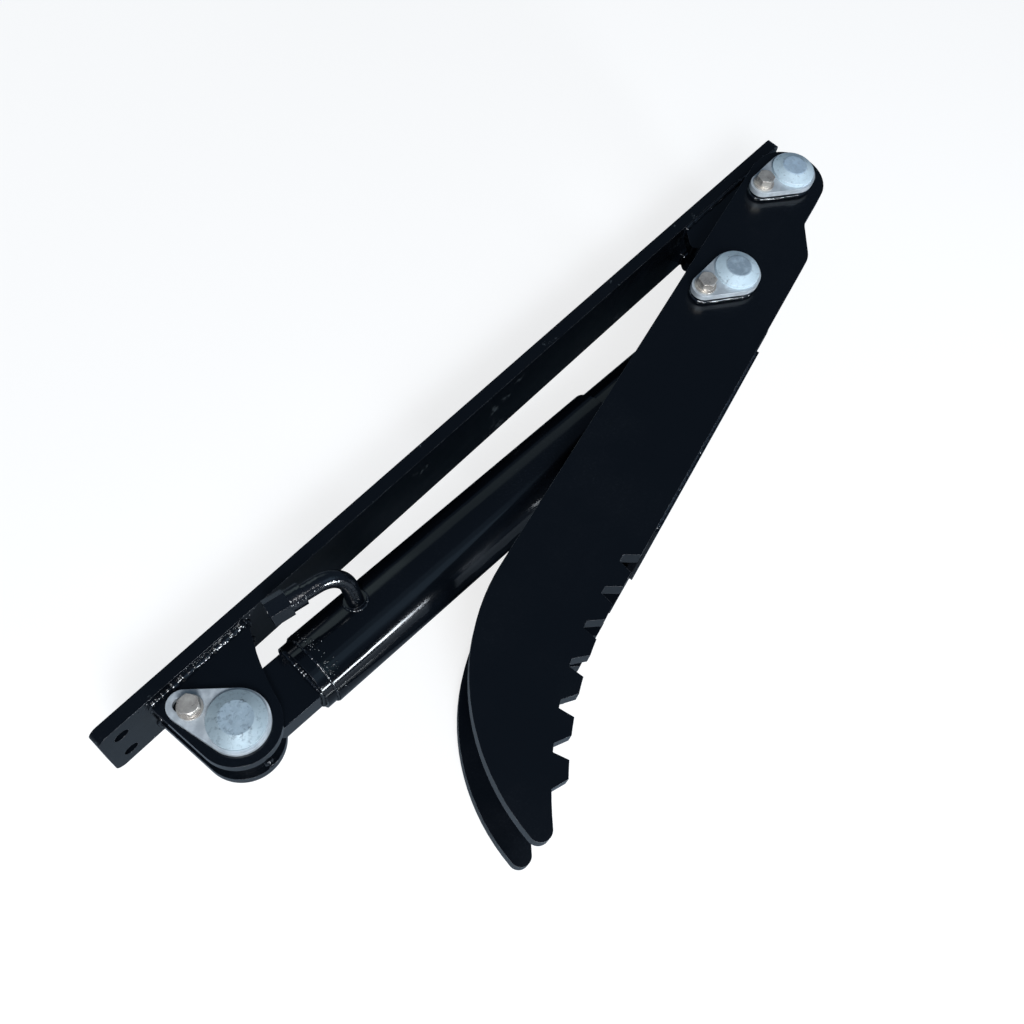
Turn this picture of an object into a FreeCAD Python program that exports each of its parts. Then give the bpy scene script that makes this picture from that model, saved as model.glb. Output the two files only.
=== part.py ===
"""Hydraulic thumb for a small excavator, lying on its side with the cylinder drawn in.

Frame, in millimetres: X runs along the mounting bar towards the thumb's pivot, +Y is the way
the bar's back face looks, +Z is across the thumb. The origin lies on the bar's back face, at
mid-width, level with the pivot pin. Z = 0 is the plane halfway between the two blades.
"""
import FreeCAD, Part
import math
import os
import Sketcher
from FreeCAD import Placement, Rotation, Vector

os.makedirs("parts", exist_ok=True)
doc = FreeCAD.newDocument("HydraulicThumb")

# Driving dimensions: name, value in millimetres or degrees, what it is
DIMENSIONS = [
    ("bar_width", 80, "mounting bar across"),
    ("bar_thick", 12, "mounting bar thickness"),
    ("bar_tail", 85, "bar end beyond the base pin"),
    ("bar_nose", 64, "bar end beyond the pivot pin"),
    ("bar_corner", 9, "rounding of the bar's corners"),
    ("bar_hole", 13, "bolt hole in the bar, diameter"),
    ("bar_hole_inset", 18, "bolt holes from the bar's end"),
    ("bar_hole_pitch", 40, "bolt holes across the bar"),
    ("pin_spacing", 760, "base pin to pivot pin along the bar"),
    ("base_pin_drop", 70, "base pin below the back face"),
    ("pivot_drop", 57, "pivot pin below the back face"),
    ("thumb_width", 136, "across the two blades, outside"),
    ("blade_thick", 16, "blade plate thickness"),
    ("stow_angle", 12.5, "thumb against the bar when stowed, degrees"),
    ("lobe_radius", 37, "blade lobe round the pivot pin"),
    ("blade_front", 57.5, "straight front edge from the pivot line"),
    ("blade_back", 38.5, "straight back edge from the pivot line"),
    ("neck_start", 46, "end of the narrow neck beside the lobe"),
    ("neck_end", 84, "where the front edge begins"),
    ("neck_round", 18, "rounding of the neck's inner corner"),
    ("shoulder_round", 30, "rounding of the shoulder above the neck"),
    ("front_straight", 515, "end of the straight front edge"),
    ("front_sweep", 320, "radius of the front edge's outward sweep"),
    ("back_sweep", 188, "radius of the back edge's curve"),
    ("back_straight", 535, "end of the straight back edge"),
    ("tip_radius", 9.5, "rounding of the tip"),
    ("notch_start", 464, "first notch along the front edge"),
    ("notch_pitch", 33.7, "notch to notch"),
    ("notch_mouth", 19, "notch width at the edge"),
    ("notch_floor", 7, "notch width at its floor"),
    ("notch_lead", 8, "slope of the notch's upper flank"),
    ("notch_depth", 13, "notch depth"),
    ("notch_count", 6, "notches before the tip"),
    ("rod_pin_along", 152, "rod pin from the pivot, along the blade"),
    ("rod_pin_off", 4, "rod pin to the front of the pivot line"),
    ("front_plate_start", 204, "front cross plate, upper end"),
    ("front_plate_end", 430, "front cross plate, lower end"),
    ("front_plate_thick", 10, "front cross plate thickness"),
    ("front_plate_proud", 3, "front cross plate beyond the blade's edge"),
    ("cross_tube_radius", 17, "cross tubes between the blades"),
    ("cross_tube_wall", 4, "cross tube wall"),
    ("upper_tube_along", 330, "upper cross tube along the blade"),
    ("upper_tube_off", 27, "upper cross tube to the front"),
    ("lower_tube_along", 560, "lower cross tube along the blade"),
    ("lower_tube_off", 12, "lower cross tube to the front"),
    ("base_pin_radius", 17.5, "base pin shank"),
    ("pivot_pin_radius", 17.5, "pivot pin shank"),
    ("rod_pin_radius", 15, "rod pin shank"),
    ("base_head_radius", 24, "base pin head"),
    ("thumb_head_radius", 21.5, "pivot and rod pin heads"),
    ("head_height", 9, "pin head height"),
    ("head_bevel", 10, "pin head bevel across its face"),
    ("head_bevel_drop", 5, "pin head bevel down its side"),
    ("flag_thick", 6, "pin retainer plate thickness"),
    ("base_flag_radius", 26.5, "retainer round the base pin"),
    ("base_flag_toe", 13, "base retainer's small end"),
    ("base_flag_over", 6, "base retainer's small end beyond its bolt"),
    ("base_slot_in", 1, "base retainer's slot before its bolt"),
    ("base_slot_out", 8, "base retainer's slot beyond its bolt"),
    ("thumb_flag_radius", 24, "retainer round the thumb's pins"),
    ("thumb_flag_toe", 12.5, "thumb retainer's small end"),
    ("thumb_flag_over", 0.5, "thumb retainer's small end beyond its bolt"),
    ("thumb_slot_in", 2, "thumb retainer's slot before its bolt"),
    ("thumb_slot_out", 3, "thumb retainer's slot beyond its bolt"),
    ("slot_play", 1, "retainer slot round the bolt's shank"),
    ("bolt_radius", 5, "retainer bolt shank"),
    ("bolt_reach", 38, "retainer bolt from the pin"),
    ("bolt_tip_gap", 1, "bolt's end from the far side of its thread"),
    ("bolt_flats", 16, "retainer bolt head across flats"),
    ("bolt_head", 6.4, "retainer bolt head height"),
    ("washer_radius", 10.5, "flat washer"),
    ("washer_thick", 2, "flat washer thickness"),
    ("spring_washer_radius", 8.6, "spring washer"),
    ("spring_washer_thick", 2.4, "spring washer thickness"),
    ("base_bolt_angle", 118, "retainer bolt's direction at the base pin, degrees"),
    ("thumb_bolt_angle", -29, "retainer bolt's direction on the blade, degrees"),
    ("boss_thick", 5, "welded pads under the thumb's retainers"),
    ("boss_margin", 2, "pad edge inside the retainer's edge"),
    ("collar_radius", 28, "far side welded collars"),
    ("pin_end_proud", 3, "pin end beyond its far support"),
    ("pin_end_bevel", 2, "bevel of the pin's far end"),
    ("ear_gap", 30, "between the cylinder ears"),
    ("ear_thick", 12, "cylinder ear thickness"),
    ("ear_radius", 35, "cylinder ear round the pin"),
    ("ear_tail", 38, "ear's foot towards the bar's end"),
    ("ear_toe", 63, "ear's foot towards the barrel"),
    ("ear_hollow", 240, "radius of the ear's hollow edge"),
    ("pivot_ear_gap", 48, "between the pivot ears"),
    ("pivot_ear_thick", 12, "pivot ear thickness"),
    ("pivot_ear_radius", 34, "pivot ear round the tube"),
    ("pivot_ear_nose", 54, "ear's foot towards the bar's nose"),
    ("pivot_ear_foot", 104, "ear's foot towards the cylinder"),
    ("pivot_ear_heel", 122, "ear's heel towards the cylinder"),
    ("pivot_ear_heel_drop", 33, "ear's heel below the back face"),
    ("far_ear_foot", 84, "far ear's foot towards the cylinder"),
    ("far_ear_heel", 92, "far ear's heel towards the cylinder"),
    ("far_ear_heel_drop", 22, "far ear's heel below the back face"),
    ("heel_round", 6, "rounding of the ears' heels"),
    ("pivot_tube_radius", 27, "pivot tube"),
    ("pivot_bush_wall", 4.5, "pivot bush wall"),
    ("pivot_bush_length", 38, "pivot bush length"),
    ("thrust_thick", 3, "thrust washer thickness"),
    ("thrust_radius", 26, "thrust washer"),
    ("side_play", 0.3, "side play at the pivots"),
    ("run_fit", 0.05, "running clearance on radius"),
    ("lug_round", 30, "cap lug round the pin"),
    ("lug_play", 0.5, "cap lug beside each ear"),
    ("lug_neck", 50, "cap lug neck across"),
    ("lug_bush_wall", 4, "cap lug bush wall"),
    ("cap_start", 65, "end cap's outer face from the base pin"),
    ("cap_radius", 32, "end cap"),
    ("cap_thick", 11, "end cap outside the tube"),
    ("cap_spigot", 12, "end cap inside the tube"),
    ("tube_radius", 34, "barrel tube"),
    ("bore_radius", 27.5, "barrel bore"),
    ("head_radius", 31, "cylinder head outside"),
    ("head_out", 98, "cylinder head beyond the tube"),
    ("head_gap", 10, "cylinder head's face from the rod eye, rod drawn in"),
    ("head_inside", 45, "cylinder head inside the tube"),
    ("groove_width", 6, "seal groove width"),
    ("groove_depth", 4, "seal groove depth"),
    ("rod_radius", 15, "rod"),
    ("rod_tail_radius", 11, "rod's threaded tail"),
    ("piston_length", 30, "piston length"),
    ("piston_play", 0.2, "piston in the bore, on radius"),
    ("nut_flats", 34, "piston nut across flats"),
    ("nut_height", 14, "piston nut height"),
    ("nut_gap", 2, "piston nut from the end cap, rod drawn in"),
    ("eye_back", 13, "rod eye's centre behind the rod pin, along the bar"),
    ("eye_drop", 3.4, "rod eye's centre below the rod pin"),
    ("eye_bore_radius", 29, "rod eye's open bore"),
    ("eye_radius", 41, "rod eye outside"),
    ("eye_width", 40, "rod eye across"),
    ("eye_neck_radius", 22, "rod eye neck"),
    ("eye_neck_station", 60, "rod eye's face to the rod from its centre"),
    ("spacer_radius", 24, "spacers beside the rod eye"),
    ("eye_play", 2, "rod eye beside each spacer"),
    ("port_station", 134, "cap port from the base pin"),
    ("port_angle", 68, "cap port round the barrel, degrees from the bar"),
    ("rod_port_inset", 28, "rod port from the tube's open end"),
    ("rod_port_angle", -75, "rod port round the barrel, degrees from the bar"),
    ("port_pad_radius", 10, "welded pad under a port pipe"),
    ("port_pad_height", 2.5, "port pad above the barrel"),
    ("pipe_radius", 7.5, "port pipe"),
    ("pipe_bore", 5, "port pipe bore radius"),
    ("cap_pipe_rise", 19, "cap port pipe straight before its bend"),
    ("cap_pipe_bend", 23, "cap port pipe bend radius"),
    ("cap_pipe_run", 13, "cap port pipe straight after its bend"),
    ("cap_pipe_angle", -11, "cap port pipe turned about its root, degrees"),
    ("rod_pipe_rise", 5, "rod port pipe straight before its bend"),
    ("rod_pipe_bend", 16, "rod port pipe bend radius"),
    ("rod_pipe_run", 22, "rod port pipe straight after its bend"),
    ("sleeve_radius", 10, "port sleeve"),
    ("sleeve_length", 13, "port sleeve length"),
    ("nut_across", 21, "port nut across flats"),
    ("nut_length", 18, "port nut length"),
    ("nut_thread_radius", 7, "port nut thread radius"),
    ("nut_thread_depth", 11, "port nut thread depth"),
    ("nipple_radius", 4, "grease nipple"),
    ("nipple_length", 9, "grease nipple outside its lug"),
]

sheet = doc.addObject("Spreadsheet::Sheet", "Sizes")
for row, (alias, value, note) in enumerate(DIMENSIONS, start=1):
    sheet.set("A%d" % row, note)
    sheet.set("B%d" % row, str(value))
    sheet.setAlias("B%d" % row, alias)
doc.recompute()


class Sizes:
    """Reads the sheet's values by name."""

    def __getattr__(self, alias):
        return float(getattr(sheet, alias))


d = Sizes()
parts = []


def cell(expression):
    """Writes the sheet's name in front of each alias of an expression."""
    words = ["Sizes." + word if word.isidentifier() else word for word in expression.split()]
    return " ".join(words)


def bind(obj, **expressions):
    for prop, expression in expressions.items():
        obj.setExpression(prop.replace("__", "."), cell(expression))


# The three frames: the bar's own, the stowed thumb's and the cylinder's
blade_outer = d.thumb_width / 2
blade_inner = blade_outer - d.blade_thick
base_pin = Vector(-d.pin_spacing, -d.base_pin_drop, 0)
pivot = Vector(0, -d.pivot_drop, 0)
bar_frame = Placement()
thumb_frame = Placement(pivot, Rotation(Vector(0, 0, 1), 180 + d.stow_angle))
rod_pin_at = (d.rod_pin_along, d.rod_pin_off)
eye_offset = Vector(-d.eye_back, -d.eye_drop, 0)
cylinder_line = thumb_frame.multVec(Vector(*rod_pin_at, 0)) + eye_offset - base_pin
cylinder_slope = math.degrees(math.atan2(cylinder_line.y, cylinder_line.x))
cylinder_frame = Placement(base_pin, Rotation(Vector(0, 0, 1), cylinder_slope))

# Stations along the cylinder, from the base pin, with the rod drawn in
eye_station = cylinder_line.Length
rod_end = eye_station - d.eye_neck_station
head_end = rod_end - d.head_gap
tube_end = head_end - d.head_out


def keep(obj, name, frame=None):
    """Makes an object a sub-part: its own label, and its place in the frame it belongs to."""
    obj.Label = name
    if frame is not None:
        obj.Placement = frame.multiply(obj.Placement)
    parts.append((name, obj))
    return obj


def plane_of(body, role):
    return [f for f in body.Origin.OriginFeatures if f.Role == role][0]


def new_sketch(body, name, role="XY_Plane", offset=0.0):
    sketch = body.newObject("Sketcher::SketchObject", name)
    sketch.AttachmentSupport = [(plane_of(body, role), "")]
    sketch.MapMode = "FlatFace"
    sketch.AttachmentOffset = Placement(Vector(0, 0, offset), Rotation())
    return sketch


def add_circle(sketch, x, y, radius, expression=None):
    """Adds a circle whose radius can follow the sheet."""
    circle = Part.Circle(Vector(x, y, 0), Vector(0, 0, 1), radius)
    index = sketch.addGeometry(circle, False)
    if expression:
        number = sketch.addConstraint(Sketcher.Constraint("Radius", index, radius))
        sketch.setExpression("Constraints[%d]" % number, cell(expression))
    return index


def add_loop(sketch, edges):
    """Adds a closed outline made of lines and arcs."""
    for edge in edges:
        sketch.addGeometry(edge, False)


def line(start, end):
    return Part.LineSegment(Vector(*start, 0), Vector(*end, 0))


def arc(centre, radius, start, end):
    """Counter-clockwise arc between two angles, in degrees."""
    circle = Part.Circle(Vector(*centre, 0), Vector(0, 0, 1), radius)
    return Part.ArcOfCircle(circle, math.radians(start), math.radians(end))


def on_circle(centre, radius, angle):
    turn = math.radians(angle)
    return (centre[0] + radius * math.cos(turn), centre[1] + radius * math.sin(turn))


def circle_meeting(centre_a, reach_a, centre_b, reach_b, side):
    """The crossing of two circles on the chosen side of the line between their centres."""
    a = Vector(*centre_a, 0)
    b = Vector(*centre_b, 0)
    gap = (b - a).Length
    along = (reach_a ** 2 - reach_b ** 2 + gap ** 2) / (2 * gap)
    off = math.sqrt(reach_a ** 2 - along ** 2)
    ahead = (b - a) / gap
    aside = Vector(-ahead.y, ahead.x, 0) * side
    point = a + ahead * along + aside * off
    return (point.x, point.y)


def polygon(points):
    return [line(a, b) for a, b in zip(points, points[1:] + points[:1])]


def rounded_corner(before, corner, after, radius):
    """The points where a corner's rounding starts, passes and ends."""
    corner = Vector(*corner, 0)
    toward = (Vector(*before, 0) - corner).normalize()
    away = (Vector(*after, 0) - corner).normalize()
    half = toward.getAngle(away) / 2
    step = radius / math.tan(half)
    inward = (toward + away).normalize() * (radius / math.sin(half) - radius)
    return corner + toward * step, corner + inward, corner + away * step


def rounded_polygon(points, radius):
    """Outline through corner points, all rounded to one radius."""
    count = len(points)
    ends = []
    for i in range(count):
        ends.append(rounded_corner(points[i - 1], points[i], points[(i + 1) % count], radius))
    edges = []
    for i in range(count):
        start, middle, end = ends[i]
        edges.append(Part.Arc(start, middle, end))
        edges.append(Part.LineSegment(end, ends[(i + 1) % count][0]))
    return edges


def teardrop(radius, toe, reach, turn):
    """Outline of a retainer: two circles joined by their outer tangents."""
    lean = math.degrees(math.acos((radius - toe) / reach))
    far = on_circle((0, 0), reach, turn)
    edges = [arc((0, 0), radius, turn + lean, turn + 360 - lean)]
    edges.append(line(on_circle((0, 0), radius, turn - lean), on_circle(far, toe, turn - lean)))
    edges.append(arc(far, toe, turn - lean, turn + lean))
    edges.append(line(on_circle(far, toe, turn + lean), on_circle((0, 0), radius, turn + lean)))
    return edges


def slot(start, end, radius, turn):
    """Outline of a slot along a direction from the origin."""
    near = on_circle((0, 0), start, turn)
    far = on_circle((0, 0), end, turn)
    edges = [arc(near, radius, turn + 90, turn + 270)]
    edges.append(line(on_circle(near, radius, turn - 90), on_circle(far, radius, turn - 90)))
    edges.append(arc(far, radius, turn - 90, turn + 90))
    edges.append(line(on_circle(far, radius, turn + 90), on_circle(near, radius, turn + 90)))
    return edges


def pad(body, sketch, expression):
    """Pads a sketch by a length from the sheet."""
    feature = body.newObject("PartDesign::Pad", sketch.Name + "Pad")
    feature.Profile = sketch
    bind(feature, Length=expression)
    body.Tip = feature
    return feature


def cut_through(body, sketch):
    """Cuts a sketch through the body, both ways."""
    feature = body.newObject("PartDesign::Pocket", sketch.Name + "Pocket")
    feature.Profile = sketch
    feature.Type = 1
    feature.Midplane = True
    body.Tip = feature
    return feature


def plate(name, edges, floor, thickness, frame, holes=(), cuts=()):
    """A flat plate: an outline padded from a height, with round holes and cut outlines."""
    body = doc.addObject("PartDesign::Body", name)
    outline = new_sketch(body, name + "_outline", offset=floor)
    add_loop(outline, edges)
    pad(body, outline, thickness)
    if holes:
        drilled = new_sketch(body, name + "_holes", offset=floor)
        for x, y, expression, radius in holes:
            add_circle(drilled, x, y, radius, expression)
        cut_through(body, drilled)
    for number, cut in enumerate(cuts):
        cutter = new_sketch(body, "%s_cut%d" % (name, number), offset=floor)
        add_loop(cutter, cut)
        cut_through(body, cutter)
    return keep(body, name, frame)


def turned(name, profile, frame):
    """A piece turned about the cylinder's line, from a half profile of (along, radius)."""
    body = doc.addObject("PartDesign::Body", name)
    sketch = new_sketch(body, name + "_profile")
    add_loop(sketch, polygon(profile))
    spin = body.newObject("PartDesign::Revolution", name + "_turn")
    spin.Profile = sketch
    spin.ReferenceAxis = (sketch, ["H_Axis"])
    spin.Angle = 360
    body.Tip = spin
    return keep(body, name, frame)


def ring(name, x, y, low, height, outer, inner, frame):
    """A tube along Z whose radii and height follow the sheet."""
    outside = doc.addObject("Part::Cylinder", name + "_outside")
    inside = doc.addObject("Part::Cylinder", name + "_inside")
    for cylinder, radius in ((outside, outer), (inside, inner)):
        bind(cylinder, Radius=radius, Height=height)
        cylinder.Placement.Base = Vector(x, y, low)
    cut = doc.addObject("Part::Cut", name)
    cut.Base = outside
    cut.Tool = inside
    return keep(cut, name, frame)


# Mounting bar: a flat bar with two bolt holes at the cylinder end
bar_start = -d.pin_spacing - d.bar_tail
bar_holes_at = bar_start + d.bar_hole_inset


def mounting_bar():
    body = doc.addObject("PartDesign::Body", "mounting_bar")
    outline = new_sketch(body, "bar_outline", "XZ_Plane")
    half = d.bar_width / 2
    corners = [(bar_start, -half), (d.bar_nose, -half), (d.bar_nose, half), (bar_start, half)]
    add_loop(outline, rounded_polygon(corners, d.bar_corner))
    pad(body, outline, "bar_thick")
    drilled = new_sketch(body, "bar_holes", "XZ_Plane")
    for side in (-1, 1):
        add_circle(drilled, bar_holes_at, side * d.bar_hole_pitch / 2, d.bar_hole / 2, "bar_hole / 2")
    cut_through(body, drilled)
    return keep(body, "mounting_bar")


mounting_bar()

# Cylinder ears: two plates below the bar, each with a hollow front edge and a round end
ear_inner = d.ear_gap / 2
ear_outer = ear_inner + d.ear_thick
foot = d.base_pin_drop - d.bar_thick


def ear_outline():
    """Foot on the bar, hollow edge on the barrel's side, round end about the pin."""
    toe = (d.ear_toe, foot)
    centre = circle_meeting((0, 0), d.ear_radius + d.ear_hollow, toe, d.ear_hollow, -1)
    top = math.degrees(math.atan2(foot - centre[1], d.ear_toe - centre[0]))
    round_end = math.degrees(math.atan2(centre[1], centre[0]))
    edges = [arc(centre, d.ear_hollow, top, 180 + round_end)]
    tail = Vector(-d.ear_tail, foot, 0)
    lean = math.degrees(math.acos(d.ear_radius / tail.Length))
    touch = math.degrees(math.atan2(foot, -d.ear_tail)) + lean
    edges.append(arc((0, 0), d.ear_radius, touch, 360 + round_end))
    edges.append(line(on_circle((0, 0), d.ear_radius, touch), (-d.ear_tail, foot)))
    edges.append(line((-d.ear_tail, foot), (d.ear_toe, foot)))
    return edges


ear_frame = Placement(base_pin, Rotation())
base_bolt = on_circle((0, 0), d.bolt_reach, d.base_bolt_angle)
for name, low, has_thread in (
    ("cylinder_ear_near", ear_inner, True),
    ("cylinder_ear_far", -ear_outer, False),
):
    holes = [(0, 0, "base_pin_radius + run_fit", d.base_pin_radius + d.run_fit)]
    if has_thread:
        holes.append((*base_bolt, "bolt_radius", d.bolt_radius))
    plate(name, ear_outline(), low, "ear_thick", ear_frame, holes)


# Pivot ears: two plates with a heel that reaches along the bar, round the pivot tube
pivot_ear_inner = d.pivot_ear_gap / 2
pivot_ear_outer = pivot_ear_inner + d.pivot_ear_thick
pivot_foot = d.pivot_drop - d.bar_thick


def pivot_ear_outline(foot_reach, heel_reach, heel_drop):
    """Foot on the bar, rounded heel, and a round end about the pivot tube."""
    heel = (-heel_reach, d.pivot_drop - heel_drop)
    heel_foot = (-foot_reach, pivot_foot)
    radius = d.pivot_ear_radius
    span = math.hypot(*heel)
    touch = math.degrees(math.atan2(heel[1], heel[0])) + math.degrees(math.acos(radius / span))
    nose = (d.pivot_ear_nose, pivot_foot)
    nose_span = math.hypot(*nose)
    nose_touch = math.degrees(math.atan2(nose[1], nose[0])) - math.degrees(math.acos(radius / nose_span))
    edges = [arc((0, 0), radius, touch, nose_touch + 360)]
    edges.append(line(on_circle((0, 0), radius, nose_touch), nose))
    edges.append(line(nose, heel_foot))
    lobe_touch = on_circle((0, 0), radius, touch)
    start, middle, end = rounded_corner(heel_foot, heel, lobe_touch, d.heel_round)
    edges.append(Part.LineSegment(Vector(*heel_foot, 0), start))
    edges.append(Part.Arc(start, middle, end))
    edges.append(Part.LineSegment(end, Vector(*lobe_touch, 0)))
    return edges


pivot_frame = Placement(pivot, Rotation())
near_shape = (d.pivot_ear_foot, d.pivot_ear_heel, d.pivot_ear_heel_drop)
far_shape = (d.far_ear_foot, d.far_ear_heel, d.far_ear_heel_drop)
for name, low, shape in (
    ("pivot_ear_near", pivot_ear_inner, near_shape),
    ("pivot_ear_far", -pivot_ear_outer, far_shape),
):
    hole = (0, 0, "pivot_tube_radius", d.pivot_tube_radius)
    plate(name, pivot_ear_outline(*shape), low, "pivot_ear_thick", pivot_frame, [hole])

tube_half = blade_inner - d.thrust_thick - d.side_play
tube_length = "thumb_width - 2 * blade_thick - 2 * thrust_thick - 2 * side_play"
bush_outer = "pivot_pin_radius + run_fit + pivot_bush_wall"
ring("pivot_tube", 0, 0, -tube_half, tube_length, "pivot_tube_radius", bush_outer, pivot_frame)
for name, low in (("pivot_bush_near", tube_half - d.pivot_bush_length), ("pivot_bush_far", -tube_half)):
    ring(name, 0, 0, low, "pivot_bush_length", bush_outer, "pivot_pin_radius + run_fit", pivot_frame)


# Pins: a shank with a bevelled far end, and a bevelled head on top of the retainer
def pin(name, x, y, seat, far_end, shank, head, frame):
    """Turned about Z: far end at far_end, head from the retainer's top face upwards."""
    body = doc.addObject("PartDesign::Body", name)
    sketch = new_sketch(body, name + "_profile", "XZ_Plane")
    top = seat + d.head_height
    outline = [
        (0, far_end),
        (shank - d.pin_end_bevel, far_end),
        (shank, far_end + d.pin_end_bevel),
        (shank, seat),
        (head, seat),
        (head, top - d.head_bevel_drop),
        (head - d.head_bevel, top),
        (0, top),
    ]
    add_loop(sketch, polygon(outline))
    spin = body.newObject("PartDesign::Revolution", name + "_turn")
    spin.Profile = sketch
    spin.ReferenceAxis = (sketch, ["V_Axis"])
    spin.Angle = 360
    body.Tip = spin
    body.Placement = Placement(Vector(x, y, 0), Rotation())
    return keep(body, name, frame)


def retainer(name, x, y, low, outline, slot_ends, shank, turn, frame):
    """Teardrop plate round a pin, slotted for its bolt."""
    place = frame.multiply(Placement(Vector(x, y, 0), Rotation()))
    return plate(
        name,
        outline,
        low,
        "flag_thick",
        place,
        [(0, 0, None, shank)],
        [slot(*slot_ends, d.bolt_radius + d.slot_play, turn)],
    )


def retainer_bolt(name, x, y, low, depth, turn, frame):
    """Hexagon bolt with a spring washer and a flat washer, turned into the plate below."""
    place = frame.multiply(Placement(Vector(x, y, 0), Rotation()))
    centre = on_circle((0, 0), d.bolt_reach, turn)
    seat = low + d.washer_thick + d.spring_washer_thick
    pieces = []
    stack = (
        ("flat_washer", low, "washer_thick", "washer_radius"),
        ("spring_washer", low + d.washer_thick, "spring_washer_thick", "spring_washer_radius"),
    )
    for part, height, thickness, radius in stack:
        disc = doc.addObject("Part::Cylinder", "%s_%s" % (name, part))
        bind(disc, Radius=radius, Height=thickness)
        disc.Placement.Base = Vector(*centre, height)
        pieces.append(disc)
    shank = doc.addObject("Part::Cylinder", name + "_shank")
    bind(shank, Radius="bolt_radius - run_fit")
    shank.Height = seat + d.bolt_head / 2 - depth
    shank.Placement.Base = Vector(*centre, depth)
    hexagon = doc.addObject("Part::Prism", name + "_hexagon")
    hexagon.Polygon = 6
    bind(hexagon, Circumradius="bolt_flats / 2 / cos(30)", Height="bolt_head")
    hexagon.Placement.Base = Vector(*centre, seat)
    crown = doc.addObject("Part::Cone", name + "_crown")
    bind(crown, Radius1="bolt_flats / 2 + 2 * bolt_head", Radius2="bolt_flats / 2 - 0.4", Height="bolt_head")
    crown.Placement.Base = Vector(*centre, seat)
    head = doc.addObject("Part::Common", name + "_head")
    head.Base = hexagon
    head.Tool = crown
    fused = doc.addObject("Part::MultiFuse", name)
    fused.Shapes = pieces + [shank, head]
    return keep(fused, name, place)


base_seat = ear_outer + d.flag_thick
base_far_end = -ear_outer - d.pin_end_proud
pin("base_pin", 0, 0, base_seat, base_far_end, d.base_pin_radius, d.base_head_radius, ear_frame)
base_turn = d.base_bolt_angle
base_flag_reach = d.bolt_reach + d.base_flag_over
base_flag = teardrop(d.base_flag_radius, d.base_flag_toe, base_flag_reach, base_turn)
base_slot = (d.bolt_reach - d.base_slot_in, d.bolt_reach + d.base_slot_out)
retainer("base_pin_retainer", 0, 0, ear_outer, base_flag, base_slot, d.base_pin_radius, base_turn, ear_frame)
retainer_bolt("base_pin_bolt", 0, 0, base_seat, ear_inner + d.bolt_tip_gap, base_turn, ear_frame)


# Blades: lobe, hollow neck, straight edges, toothed sweep and a round tip
def front_point(along, depth):
    """Point of the front edge at a distance along it, set in by a depth, and the edge's turn."""
    if along <= d.front_straight:
        return (along, d.blade_front - depth), 0.0
    turn = (along - d.front_straight) / d.front_sweep
    centre = (d.front_straight, d.blade_front + d.front_sweep)
    reach = d.front_sweep + depth
    point = (centre[0] + reach * math.sin(turn), centre[1] - reach * math.cos(turn))
    return point, math.degrees(turn)


def notch(start):
    """Four-sided notch, open at the front edge, leaning with the edge."""
    mouth, turn = front_point(start + d.notch_mouth / 2, 0)
    along = Vector(math.cos(math.radians(turn)), math.sin(math.radians(turn)), 0)
    inward = Vector(along.y, -along.x, 0)
    middle = Vector(*mouth, 0)
    half = d.notch_mouth / 2
    lead = d.notch_lead / d.notch_depth
    trail = (d.notch_mouth - d.notch_lead - d.notch_floor) / d.notch_depth
    over = d.notch_depth / 2
    corners = [
        middle - along * (half + lead * over) - inward * over,
        middle - along * (half - d.notch_lead) + inward * d.notch_depth,
        middle - along * (half - d.notch_lead - d.notch_floor) + inward * d.notch_depth,
        middle + along * (half + trail * over) - inward * over,
    ]
    return polygon([(corner.x, corner.y) for corner in corners])


def angle_from(centre, point):
    return math.degrees(math.atan2(point[1] - centre[1], point[0] - centre[0]))


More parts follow.
